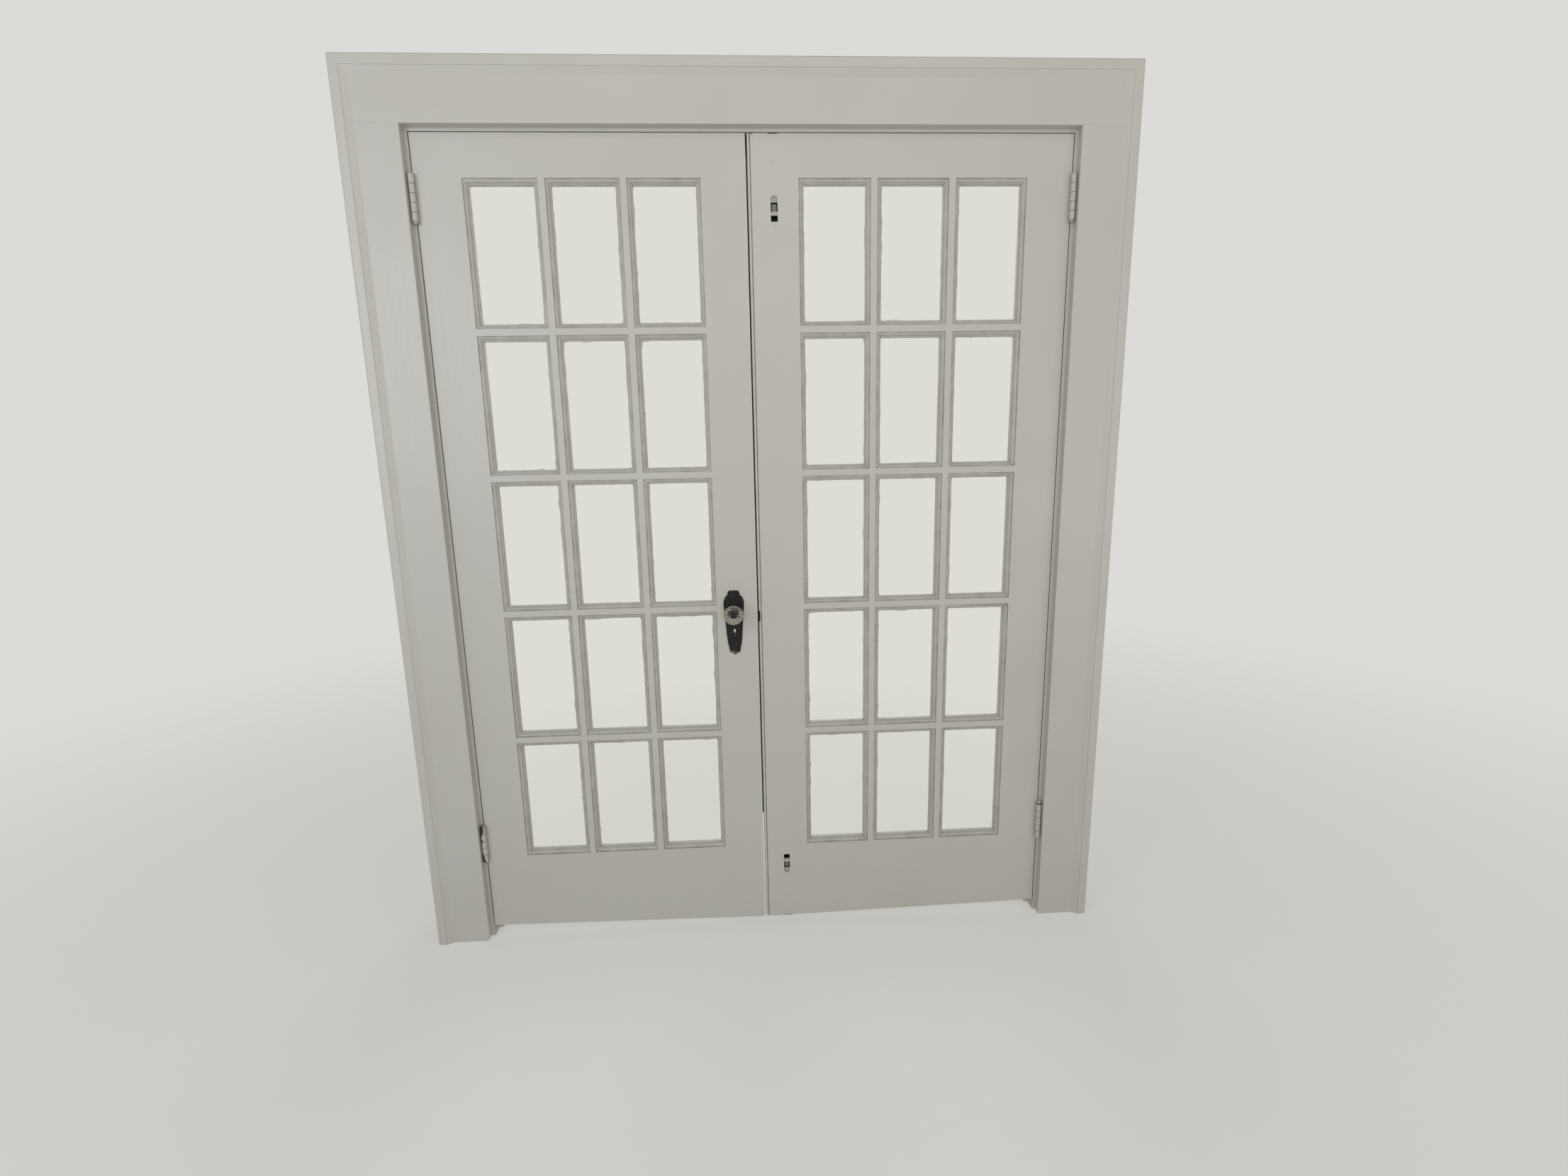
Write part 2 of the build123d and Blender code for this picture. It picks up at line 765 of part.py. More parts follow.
def face_plate():
    half = face_plate_w / 2
    plate = block(case_x1, left_x1, lock_y - half, lock_y + half, knob_z - face_plate_below, knob_z + face_plate_above)
    plate -= latch_window(bolt_play)
    plate -= dead_window(bolt_play)
    for place in face_plate_screw_places():
        plate -= place * screw_hole
    return plate


def latch_bolt():
    """Drawn latch: bevelled nose, flat tail and the slot that the hub's arm works in."""
    half = latch_t / 2
    root_x = tip_x - latch_nose
    nose = outline((root_x, lock_y - half), (tip_x, lock_y - half), (tip_x, lock_y - half + case_wall),
                   (tip_x - latch_bevel, lock_y + half), (root_x, lock_y + half))
    bolt = along_z(nose, latch_z - latch_h / 2, latch_z + latch_h / 2)
    half_turn = radians(knob_turn / 2)
    reach = latch_travel / 2 / sin(half_turn)
    slot_x = knob_x - reach * sin(half_turn)
    slot_half = arm_tip_r + arm_play
    tail_end = slot_x - slot_half - arm_neck
    tail = block(tail_end, root_x, lock_y - tail_t / 2, lock_y + tail_t / 2, knob_z - tail_bottom, knob_z - tail_top)
    tail -= block(slot_x - slot_half, slot_x + slot_half, lock_y - tail_t, lock_y + tail_t,
                  knob_z - reach - arm_tip_r - arm_play, knob_z)
    return bolt + tail


def lock_hub():
    """Hub with its bosses, square hole and the arm that draws the latch."""
    inner = case_t / 2 - case_wall - hub_play
    hub = rod(hub_r, 0, 0, -inner, inner) + rod(hub_boss_r, 0, 0, -case_t / 2, case_t / 2)
    reach = latch_travel / 2 / sin(radians(knob_turn / 2))
    hub += block(-arm_neck / 2, arm_neck / 2, -tail_t / 2, tail_t / 2, -reach, 0)
    hub += rod(arm_tip_r, 0, -reach, -tail_t / 2, tail_t / 2)
    half = spindle_w / 2
    hub -= block(-half, half, -case_t, case_t, -half, half)
    return Pos(knob_x, lock_y, knob_z) * Rot(0, knob_turn / 2, 0) * hub


def latch_spring():
    """Bowed strip behind the latch's tail, footed on the case's back wall."""
    tail_end = knob_x - latch_travel / 2 - arm_tip_r - arm_play - arm_neck
    top = (tail_end - latch_back, knob_z - tail_top - spring_t)
    foot = (case_x0 + case_wall, knob_z - tail_bottom * 2)
    belly = ((top[0] + foot[0]) / 2 + 2, (top[1] + foot[1]) / 2 - 2)
    front = ThreePointArc(foot, belly, top)
    back = ThreePointArc((top[0] - spring_t, top[1]), (belly[0] - spring_t, belly[1] + spring_t / 2),
                         (foot[0], foot[1] + 2 * spring_t))
    face = make_face(front + Line(top, (top[0] - spring_t, top[1])) + back
                     + Line((foot[0], foot[1] + 2 * spring_t), foot))
    return along_y(face, lock_y - spring_w / 2, lock_y + spring_w / 2)


def dead_bolt():
    """Withdrawn bolt, with the talon above the keyhole that the key throws."""
    bolt = block(tip_x - dead_l, tip_x, lock_y - dead_t / 2, lock_y + dead_t / 2,
                 dead_z - dead_h / 2, dead_z + dead_h / 2)
    talon_top = dead_z + dead_h / 2
    bolt += block(tip_x - dead_l - talon_l, tip_x - dead_l, lock_y - dead_t / 2, lock_y - dead_t / 2 + talon_t,
                  talon_top - talon_h, talon_top)
    return bolt


def let_in_lock(stile):
    half = face_plate_w / 2 + case_play
    stile -= block(case_x0 - case_play, left_x1 + past, case_y0 - case_play, case_y1 + case_play,
                   case_z0 - case_play, case_z1 + case_play)
    stile -= block(case_x1, left_x1 + past, lock_y - half, lock_y + half,
                   knob_z - face_plate_below - case_play, knob_z + face_plate_above + case_play)
    stile -= rod(stile_bore_r, knob_x, knob_z, -past, leaf_t + past)
    stile -= keyhole(-past, leaf_t + past, grow=1)
    for place in face_plate_screw_places() + escutcheon_screw_places():
        stile -= place * screw_hole
    return stile


# Escutcheons and knobs, drawn for the front
def escutcheon_screw_places():
    front = [aim(knob_x, -escutcheon_t, knob_z + z, (0, 1, 0)) for z in (escutcheon_screw_top, -escutcheon_screw_low)]
    rear = [aim(knob_x, leaf_t + escutcheon_t, knob_z + z, (0, -1, 0))
            for z in (escutcheon_screw_top, -escutcheon_screw_low)]
    return front + rear


def escutcheon_edge():
    """Right half of the plate's outline, from the top down, about the knob's axis."""
    shoulder = ThreePointArc((10.5, 56), (14.2, 52.5), (15.8, 47))
    cheek = ThreePointArc((19.5, 42), (24.6, 33), (26.8, 18))
    foot = ThreePointArc((14, -108), (11.5, -110.5), (6, -110.5))
    tip = ThreePointArc((5.5, -113.5), (3.4, -115.8), (0, -116.4))
    return (Line((0, 56), (10.5, 56)) + shoulder + Polyline((15.8, 47), (17.4, 42), (19.5, 42)) + cheek
            + Polyline((26.8, 18), (22, -39), (20.3, -66), (17, -92), (15.2, -94), (14, -108)) + foot
            + Line((6, -110.5), (5.5, -113.5)) + tip)


def escutcheon():
    half = make_face(escutcheon_edge() + Line((0, -116.4), (0, 56)))
    face = half + mirror(half, about=Plane.YZ)
    bevel_y = escutcheon_ease - escutcheon_t
    plate = along_y(face, bevel_y, 0)
    plate += Pos(0, bevel_y, 0) * extrude(Plane.XZ * face, escutcheon_ease, taper=45)
    plate = Pos(knob_x, 0, knob_z) * plate
    plate -= rod(neck_r + plate_gap, knob_x, knob_z, -past, past)
    plate -= keyhole(-past, past)
    for place in escutcheon_screw_places()[:2]:
        plate -= place * screw_hole
    return plate


def to_back_of_leaf(shape):
    """Mirror a piece from the front of the leaf to its rear."""
    return Pos(0, leaf_t, 0) * mirror(shape, about=Plane.XZ)


def knob_shank():
    """Turned shank: collar in front of the plate, waisted neck and the cup that holds the glass."""
    start = escutcheon_t + plate_gap
    end = start + shank_l
    edge = Polyline((0, 0), (neck_r, 0), (neck_r, start), (collar_r, start), (collar_r, start + collar_t),
                    (neck_r, start + 1.5 * collar_t))
    edge += Spline((neck_r, start + 1.5 * collar_t), (neck_front_r, start + shank_l / 2), (ferrule_r, end - collar_t),
                   tangents=((0, 1), (0.3, 1)))
    edge += Polyline((ferrule_r, end - collar_t), (ferrule_r, end), (0, end), (0, 0))
    turned = Rot(90, 0, 0) * revolve(Plane.XZ * make_face(edge), Axis.Z)
    half = spindle_w / 2
    turned -= block(-half, half, -(end - spindle_inset), past, -half, half)
    return Pos(knob_x, 0, knob_z) * turned


def glass_knob():
    """Twelve-sided pressed glass, lofted from one ring of corners to the next, a corner upright at rest."""
    start = escutcheon_t + plate_gap + shank_l
    rings = [(0, 0.44), (0.3, 0.74), (0.54, 1), (0.7, 1), (0.88, 0.77), (1, 0.5)]
    ring = RegularPolygon(knob_r, knob_sides, rotation=knob_turn / 2)
    sections = [Pos(0, 0, share * glass_l) * scale(ring, by=size) for share, size in rings]
    body = loft(sections, ruled=True)
    return Pos(knob_x, -start, knob_z) * Rot(90, 0, 0) * body


def spindle():
    half = spindle_w / 2
    reach = escutcheon_t + plate_gap + shank_l - spindle_inset
    bar = block(-half, half, -reach, leaf_t + reach, -half, half)
    return Pos(knob_x, 0, knob_z) * bar


# The knobs, spindle and hub all stand half a turn range away from the middle, as the hub's arm does
def turned_with_hub(shape):
    about = Pos(knob_x, 0, knob_z)
    return about * Rot(0, knob_turn / 2, 0) * about.inverse() * shape


# Strike plate, drawn in its place on the right leaf
def strike_screw_places():
    middle = strike_front + strike_w / 2
    return [aim(right_x0, middle, z, (1, 0, 0))
            for z in (knob_z + strike_above - screw_head_r - 2, knob_z - strike_below + screw_head_r + 2)]


def strike_plate():
    x1 = right_x0 + strike_t
    plate = block(right_x0, x1, strike_front, strike_front + strike_w, knob_z - strike_below, knob_z + strike_above)
    plate += block(right_x0, x1, -lip_out, strike_front, latch_z - lip_h / 2, latch_z + lip_h / 2)
    plate += block(right_x0, right_x0 + strike_t + lip_out, -lip_out - strike_t / 2, -lip_out + strike_t / 2,
                   latch_z - lip_h / 2, latch_z + lip_h / 2)
    plate -= strike_hole(latch_z, latch_h, latch_t)
    plate -= strike_hole(dead_z, dead_h, dead_t)
    for place in strike_screw_places():
        plate -= place * screw_hole
    return plate


def strike_hole(z, height, thickness):
    half_y = thickness / 2 + strike_play
    half_z = height / 2 + strike_play
    return block(right_x0 - past, right_x0 + strike_pocket, lock_y - half_y, lock_y + half_y, z - half_z, z + half_z)


def let_in_strike(stile):
    y1 = strike_front + strike_w + case_play
    stile -= block(right_x0 - past, right_x0 + strike_t, strike_front - case_play, y1,
                   knob_z - strike_below - case_play, knob_z + strike_above + case_play)
    lip_half = lip_h / 2 + case_play
    stile -= block(right_x0 - past, right_x0 + strike_t + lip_out + case_play, -past, strike_front,
                   latch_z - lip_half, latch_z + lip_half)
    stile -= strike_hole(latch_z, latch_h, latch_t)
    stile -= strike_hole(dead_z, dead_h, dead_t)
    for place in strike_screw_places():
        stile -= place * screw_hole
    return stile


def edge_bead(stile):
    """Round the meeting arris into a bead and sink the quirk beside it."""
    r = edge_bead_w / 2
    left = right_x0
    outer = Polyline((left - past, -past), (left + edge_bead_w + edge_quirk_w, -past),
                     (left + edge_bead_w + edge_quirk_w, r), (left + edge_bead_w, r))
    arc = ThreePointArc((left + edge_bead_w, r), (left + r, 0), (left, r))
    outer += arc + Polyline((left, r), (left - past, r), (left - past, -past))
    return stile - along_z(make_face(outer), -past, leaf_top + past)


def chipped_top(stile):
    """Small chip out of the head of the right leaf beside the meeting edge."""
    start = right_x0 + chip_from_edge
    wedge = outline((start, leaf_top), (start + chip_w, leaf_top), (start + chip_w / 3, leaf_top - chip_size))
    return stile - along_y(wedge, -past, chip_size)


# Flush bolts, drawn for the top of the right leaf with z = 0 at the thumb bar
def flush_plate():
    """Face plate with its slot and the pressed case behind it."""
    half = flush_plate_w / 2
    inner = slot_w / 2
    outer = inner + flush_case_wall
    plate = block(-half, half, 0, flush_plate_t, -flush_plate_behind, flush_plate_l - flush_plate_behind)
    z0 = -slot_behind - flush_case_wall
    z1 = slot_ahead + flush_case_wall
    plate += block(-outer, outer, flush_plate_t, flush_case_depth, z0, z1)
    plate -= slot_cutter(-past, flush_plate_t, slot_ahead)
    plate -= slot_cutter(0, flush_plate_t + shallow_floor, slot_ahead)
    plate -= block(-inner, inner, 0, flush_case_depth - flush_case_wall, -slot_behind, slot_ahead - shallow_end)
    half_carrier = carrier_w / 2 + thumb_play
    plate -= block(-half_carrier, half_carrier, carrier_depth - thumb_play, rod_y, slot_ahead - shallow_end,
                   carrier_end + flush_travel + thumb_play)
    plate -= upright_rod(rod_r + rod_fit, 0, rod_y, 0, z1 + past)
    for place in flush_screw_places():
        plate -= place * short_hole
    return plate


def slot_cutter(y0, y1, ahead):
    r = slot_w / 2
    straight = block(-r, r, y0, y1, -slot_behind, ahead - r)
    return straight + rod(r, 0, ahead - r, y0, y1)


def flush_screw_places():
    heights = (screw_head_r + 2 - flush_plate_behind, flush_plate_l - flush_plate_behind - 2 * screw_head_r)
    return [aim(0, 0, z, (0, 1, 0)) for z in heights]


def thumb_piece():
    """Thumb bar and the flat carrier behind it, bored for the end of the rod."""
    half = slot_w / 2 - thumb_play
    piece = block(-half, half, -0.5, rod_y, -thumb_h / 2, thumb_h / 2)
    piece += block(-carrier_w / 2, carrier_w / 2, carrier_depth, rod_y, thumb_h / 2, carrier_end)
    piece += upright_rod(rod_r, 0, rod_y, -thumb_h / 2, carrier_end)
    return piece - upright_rod(rod_stub_r + rod_stub_fit, 0, rod_y, carrier_end - rod_stub_l, carrier_end)


def bolt_rod(end_z):
    """Round bolt up to the leaf's edge, its stub screwed into the carrier."""
    stub = upright_rod(rod_stub_r, 0, rod_y, carrier_end - rod_stub_l, carrier_end)
    return stub + upright_rod(rod_r, 0, rod_y, carrier_end, end_z)


def let_in_flush(stile, place, end_z):
    """Cut the case mortise, plate recess, rod bore and guide recess for one flush bolt."""
    half = flush_plate_w / 2
    outer = slot_w / 2 + flush_case_wall + case_play
    cutters = [
        block(-half, half, -past, flush_plate_t, -flush_plate_behind, flush_plate_l - flush_plate_behind),
        block(-outer, outer, 0, flush_case_depth + case_play, -slot_behind - flush_case_wall - case_play,
              slot_ahead + flush_case_wall + case_play),
        upright_rod(rod_r + rod_fit, 0, rod_y, 0, end_z + past),
        block(-guide_w / 2, guide_w / 2, -past, guide_depth, end_z - guide_t, end_z + past)]
    cutters += [spot * short_hole for spot in flush_screw_places()]
    for cutter in cutters:
        stile -= place(cutter)
    return stile


def guide_plate(end_z):
    plate = block(-guide_w / 2, guide_w / 2, 0, guide_depth, end_z - guide_t, end_z)
    return plate - upright_rod(rod_r + rod_fit, 0, rod_y, end_z - past, end_z + past)


def at_top(shape):
    return Pos(flush_x, 0, top_bolt_z) * shape


def at_bottom(shape):
    return Pos(flush_x, 0, bottom_bolt_z) * mirror(shape, about=Plane.XY)


def leaf_bottom_at(x):
    """Height of the right leaf's trimmed bottom."""
    span = right_leaf_w + past - trim_corner
    return floor_gap + trim_rise * (x - right_x0 - trim_corner) / span


top_rod = top_bolt_drop
bottom_rod = bottom_bolt_z - leaf_bottom_at(flush_x + guide_w / 2)

# Write the frame
left_jamb = let_in_hinges(side_jamb(), jamb_side=True)
save("left_jamb", left_jamb)
save("right_jamb", mirrored(left_jamb))
save("head_jamb", head_jamb())
save("left_stop", side_stop())
save("right_stop", mirrored(side_stop()))
save("head_stop", head_stop())
save("left_casing", side_casing(front=True))
save("right_casing", mirrored(side_casing(front=False)))
save("head_casing", head_casing())
save("left_back_band", side_band())
save("right_back_band", mirrored(side_band()))
save("head_back_band", head_band())
rear_side = [to_rear(side_casing(front=False)), to_rear(side_band())]
save("left_rear_casing", *rear_side)
save("right_rear_casing", *[mirrored(board) for board in rear_side])
save("head_rear_casing", to_rear(head_casing()), to_rear(head_band()))
jamb_plates = hinge_halves(jamb_side=True)
save("left_jamb_hinge_plates", *jamb_plates)
save("right_jamb_hinge_plates", *[mirrored(plate) for plate in jamb_plates])
left_pins = [hinge_pin(z) for z in hinge_heights]
right_pins = [mirrored(hinge_pin(bottom_hinge_z, raised_pin)), mirrored(hinge_pin(top_hinge_z))]
save("hinge_pins", *left_pins, *right_pins)
jamb_screws = hinge_screws(jamb_side=True)
save("frame_screws", *jamb_screws, *[mirrored(screw) for screw in jamb_screws],
     *[place * plain_screw for place in keeper_screw_places()])
save("bolt_keeper", bolt_keeper())

# Write the left leaf
left_field = left_x0 + hinge_stile_w
hinge_stile, lock_stile, top_rail, bottom_rail = stiles_and_rails(left_x0, left_field, left_x1, hinge_side=-1)
save("left_hinge_stile", let_in_hinges(hinge_stile, jamb_side=False))
save("left_lock_stile", let_in_lock(lock_stile))
save("left_top_rail", top_rail)
save("left_bottom_rail", bottom_rail)
save("left_upright_bars", *upright_bars(left_field))
save("left_cross_bars", *cross_bars(left_field))
save("left_panes", *panes(left_field))
save("left_beads", *glazing_beads(left_field))
leaf_plates = hinge_halves(jamb_side=False)
save("left_leaf_hinge_plates", *leaf_plates)
leaf_screws = hinge_screws(jamb_side=False)
save("left_leaf_screws", *leaf_screws,
     *[place * plain_screw for place in face_plate_screw_places() + escutcheon_screw_places()])
save("lock_case", lock_case())
save("lock_cover", lock_cover())
save("lock_face_plate", face_plate())
save("latch_spring", latch_spring())
save("front_escutcheon", escutcheon())
save("rear_escutcheon", to_back_of_leaf(escutcheon()))

# Write what turns with the knob, and the two bolts
save("lock_hub", lock_hub())
save("spindle", turned_with_hub(spindle()))
save("front_knob_shank", turned_with_hub(knob_shank()))
save("rear_knob_shank", turned_with_hub(to_back_of_leaf(knob_shank())))
save("front_knob", turned_with_hub(glass_knob()))
save("rear_knob", turned_with_hub(to_back_of_leaf(glass_knob())))
save("latch_bolt", latch_bolt())
save("dead_bolt", dead_bolt())

# Write the right leaf
right_field = right_x0 + meeting_stile_w
meeting_stile, hinge_stile, top_rail, bottom_rail = stiles_and_rails(right_x0, right_field, right_x1, hinge_side=1)
meeting_stile = let_in_strike(chipped_top(edge_bead(meeting_stile)))
meeting_stile = let_in_flush(meeting_stile, at_top, top_rod)
meeting_stile = let_in_flush(meeting_stile, at_bottom, bottom_rod)
save("right_hinge_stile", mirrored(let_in_hinges(mirrored(hinge_stile), jamb_side=False)))
save("right_meeting_stile", meeting_stile)
save("right_top_rail", top_rail)
save("right_bottom_rail", bottom_rail)
save("right_upright_bars", *upright_bars(right_field))
save("right_cross_bars", *cross_bars(right_field))
save("right_panes", *panes(right_field))
save("right_beads", *glazing_beads(right_field))
save("right_leaf_hinge_plates", *[mirrored(plate) for plate in leaf_plates])
save("right_leaf_screws", *[mirrored(screw) for screw in leaf_screws],
     *[place * plain_screw for place in strike_screw_places()],
     *[at_top(place * short_screw) for place in flush_screw_places()],
     *[at_bottom(place * short_screw) for place in flush_screw_places()])
save("strike_plate", strike_plate())
save("top_flush_plate", at_top(flush_plate()))
save("bottom_flush_plate", at_bottom(flush_plate()))
save("bolt_guides", at_top(guide_plate(top_rod)), at_bottom(guide_plate(bottom_rod)))
save("top_flush_bolt", at_top(thumb_piece()), at_top(bolt_rod(top_rod)))
save("bottom_flush_bolt", at_bottom(thumb_piece()), at_bottom(bolt_rod(bottom_rod)))
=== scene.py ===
"""Looks for a pair of old painted french doors: brushed enamel, window glass, glass knobs and worn iron."""

import math
import random

import bpy
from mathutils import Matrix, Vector


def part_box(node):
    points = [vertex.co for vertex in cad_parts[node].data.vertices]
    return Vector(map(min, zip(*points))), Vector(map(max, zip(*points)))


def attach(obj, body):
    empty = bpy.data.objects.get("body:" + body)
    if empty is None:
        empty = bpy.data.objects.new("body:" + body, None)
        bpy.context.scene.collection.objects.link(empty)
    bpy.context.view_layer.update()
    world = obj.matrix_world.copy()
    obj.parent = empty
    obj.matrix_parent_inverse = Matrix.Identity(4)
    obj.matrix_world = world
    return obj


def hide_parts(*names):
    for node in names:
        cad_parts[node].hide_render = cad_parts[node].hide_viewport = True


MM = 0.001

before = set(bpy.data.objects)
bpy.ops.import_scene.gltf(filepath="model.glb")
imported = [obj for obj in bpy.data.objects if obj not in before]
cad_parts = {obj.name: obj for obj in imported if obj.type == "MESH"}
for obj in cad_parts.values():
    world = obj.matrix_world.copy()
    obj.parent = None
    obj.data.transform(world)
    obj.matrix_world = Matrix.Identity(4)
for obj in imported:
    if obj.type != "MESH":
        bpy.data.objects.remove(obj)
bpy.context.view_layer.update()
bpy.ops.object.select_all(action="DESELECT")


def node_names(*endings):
    """Names of the CAD nodes that end in one of the given words."""
    return [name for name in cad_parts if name.endswith(endings)]


# Places taken from the frame
leaf_face_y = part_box("left_lock_stile")[0][1]
glass_front_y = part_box("left_panes")[0][1]
escutcheon_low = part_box("front_escutcheon")[0]
low_hinge, high_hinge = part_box("left_leaf_hinge_plates")

# Sizes of the hinges, which the paint's chips and the painted shade at the knuckles' joints follow
hinge_height = 101.6 * MM
knuckle_count = 5
knuckle_pitch = hinge_height / knuckle_count


# Colours and nodes
def linear(code, alpha=1.0):
    """Linear colour of an sRGB hex code."""
    channels = [int(code[i:i + 2], 16) / 255 for i in (1, 3, 5)]
    return tuple(c / 12.92 if c <= 0.04045 else ((c + 0.055) / 1.055) ** 2.4 for c in channels) + (alpha,)


def grey(value):
    return (value, value, value, 1.0)


def add(tree, kind, inputs=None, stops=(), **settings):
    """Add one node with its settings and a ramp's stops; nodes and sockets given as inputs are linked."""
    node = tree.nodes.new(kind)
    for name, value in settings.items():
        setattr(node, name, value)
    for index, (position, colour) in enumerate(stops):
        elements = node.color_ramp.elements
        element = elements[index] if index < 2 else elements.new(position)
        element.position = position
        element.color = colour
    for name, value in (inputs or {}).items():
        if isinstance(value, bpy.types.Node):
            value = value.outputs[0]
        if isinstance(value, bpy.types.NodeSocket):
            tree.links.new(value, node.inputs[name])
        else:
            node.inputs[name].default_value = value
    return node


def new_material(name):
    """Material with an empty node tree; returns it, the tree and the output node."""
    material = bpy.data.materials.new(name)
    material.use_nodes = True
    tree = material.node_tree
    tree.nodes.clear()
    return material, tree, tree.nodes.new("ShaderNodeOutputMaterial")


def finish_with(tree, output, shader):
    tree.links.new(shader.outputs[0], output.inputs["Surface"])


# Alkyd enamel brushed on over many older coats: off-white, unevenly glossy, with faint brush ridges
# along each member, and grime mixed with painted shade in the quirks of the moulding
enamel = "#b9b8b3"
enamel_yellowed = "#b1aea6"
# Dark colour for grime and painted shade in the moulding's quirks, and for painted shade over the hinge
# barrels
enamel_grime_and_shade = "#5a5248"
# Paler than the enamel on the wood: partly painted light, for the light that comes through the thin paint
# from behind
backlit_enamel_on_glass = "#e4e2dc"


def drifting_enamel(tree, place):
    """Slow drift between fresher and yellower paint."""
    drift_size = 260 * MM
    drift = add(tree, "ShaderNodeTexNoise", {"Vector": place, "Scale": 1 / drift_size, "Detail": 3.0})
    return add(tree, "ShaderNodeMix", {"Factor": drift, "A": linear(enamel), "B": linear(enamel_yellowed)},
               data_type="RGBA").outputs["Result"]


def enamel_colour(tree, place):
    """The drifting paint with grime and painted shade in the moulding's quirks, darker by depth from the
    leaf's face in to the glass.
    """
    patch_size = 35 * MM
    strength = 1.5
    depth = add(tree, "ShaderNodeSeparateXYZ", {"Vector": place})
    into_leaf = add(tree, "ShaderNodeMapRange", {"Value": depth.outputs["Y"], "From Min": leaf_face_y,
                                                 "From Max": glass_front_y, "To Min": 0.0, "To Max": 1.0})
    # Painted shade, with grime: the paint darkens by depth, most in the quirk next to the leaf's face
    quirk = add(tree, "ShaderNodeValToRGB", {"Fac": into_leaf}, [
        (0.0, grey(0)), (0.05, grey(0.1)), (0.12, grey(0.62)), (0.17, grey(0.5)), (0.24, grey(0.2)),
        (0.7, grey(0.22)), (0.97, grey(0.3)), (1.0, grey(0))])
    patchy = add(tree, "ShaderNodeTexNoise", {"Vector": place, "Scale": 1 / patch_size, "Detail": 2.0})
    amount = add(tree, "ShaderNodeMath", {0: quirk, 1: patchy}, operation="MULTIPLY")
    quirk_grime_and_shade = add(tree, "ShaderNodeMath", {0: amount, 1: strength}, operation="MULTIPLY", use_clamp=True)
    return add(tree, "ShaderNodeMix", {"Factor": quirk_grime_and_shade, "A": drifting_enamel(tree, place),
                                       "B": linear(enamel_grime_and_shade)}, data_type="RGBA").outputs["Result"]


def brushed_enamel(name, along):
    """Enamel with brush ridges along one axis ("X" or "Z")."""
    material, tree, output = new_material(name)
    place = add(tree, "ShaderNodeTexCoord").outputs["Object"]
    ridge_width, ridge_length = 3.0 * MM, 120 * MM
    sag_size = 45 * MM
    relief = 1.2 * MM
    scale = [1 / ridge_width] * 3
    scale["XYZ".index(along)] = 1 / ridge_length
    stretched = add(tree, "ShaderNodeMapping", {"Vector": place, "Scale": scale})
    ridges = add(tree, "ShaderNodeTexNoise", {"Vector": stretched, "Scale": 1.0, "Detail": 4.0,
                                              "Roughness": 0.6})
    sag = add(tree, "ShaderNodeTexNoise", {"Vector": place, "Scale": 1 / sag_size, "Detail": 2.0})
    bumps = add(tree, "ShaderNodeMix", {"Factor": 0.6, "A": ridges.outputs["Fac"], "B": sag.outputs["Fac"]})
    bump = add(tree, "ShaderNodeBump", {"Height": bumps.outputs["Result"], "Strength": 0.35,
                                        "Distance": relief})
    gloss = add(tree, "ShaderNodeMapRange", {"Value": ridges, "From Min": 0.3, "From Max": 0.7,
                                             "To Min": 0.34, "To Max": 0.46})
    paint = add(tree, "ShaderNodeBsdfPrincipled", {"Base Color": enamel_colour(tree, place),
                                                   "Roughness": gloss, "Normal": bump, "IOR": 1.5})
    finish_with(tree, output, paint)
    return material


# The same enamel where it lies thin on the glass, so that light comes through it from behind; its paler
# colour also paints in some of that light from behind
def thin_enamel():
    material, tree, output = new_material("thin enamel on glass")
    lit = add(tree, "ShaderNodeBsdfPrincipled", {"Base Color": linear(backlit_enamel_on_glass), "Roughness": 0.5})
    through = add(tree, "ShaderNodeBsdfTranslucent", {"Color": linear(backlit_enamel_on_glass)})
    finish_with(tree, output, add(tree, "ShaderNodeMixShader", {0: 0.45, 1: lit, 2: through}))
    return material


# Drawn window glass from the doors' early days: clear, faintly green, with slow waves that bend the view
def drawn_window_glass():
    material, tree, output = new_material("drawn window glass")
    place = add(tree, "ShaderNodeTexCoord").outputs["Object"]
    wave_across, wave_up = 70 * MM, 110 * MM
    wave_depth = 2.0 * MM
    scale = (1 / wave_across, 1.0, 1 / wave_up)
    stretched = add(tree, "ShaderNodeMapping", {"Vector": place, "Scale": scale})
    waves = add(tree, "ShaderNodeTexNoise", {"Vector": stretched, "Scale": 1.0, "Detail": 1.0})
    bump = add(tree, "ShaderNodeBump", {"Height": waves, "Strength": 0.12, "Distance": wave_depth})
    glass = add(tree, "ShaderNodeBsdfPrincipled", {"Base Color": linear("#f5f7f5"), "Roughness": 0.0,
                                                   "IOR": 1.52, "Transmission Weight": 1.0, "Normal": bump})
    clear = add(tree, "ShaderNodeBsdfTransparent", {"Color": linear("#f1f3f1")})
    rays = add(tree, "ShaderNodeLightPath")
    shadow = rays.outputs["Is Shadow Ray"]
    finish_with(tree, output, add(tree, "ShaderNodeMixShader", {0: shadow, 1: glass, 2: clear}))
    return material


# Pressed soda-lime glass, fire-polished: clear and bright at the facets, a touch of grey in the depth
def pressed_glass():
    material, tree, output = new_material("pressed knob glass")
    glass = add(tree, "ShaderNodeBsdfPrincipled", {"Base Color": linear("#f4f7f5"), "Roughness": 0.02,
                                                   "IOR": 1.52, "Transmission Weight": 1.0})
    finish_with(tree, output, glass)
    return material


# Tin foil laid behind the knob's glass, dulled with age
def dulled_foil():
    material, tree, output = new_material("tin foil behind glass")
    foil = add(tree, "ShaderNodeBsdfPrincipled", {"Base Color": linear("#d9d5ca"), "Metallic": 1.0,
                                                  "Roughness": 0.3})
    finish_with(tree, output, foil)
    return material


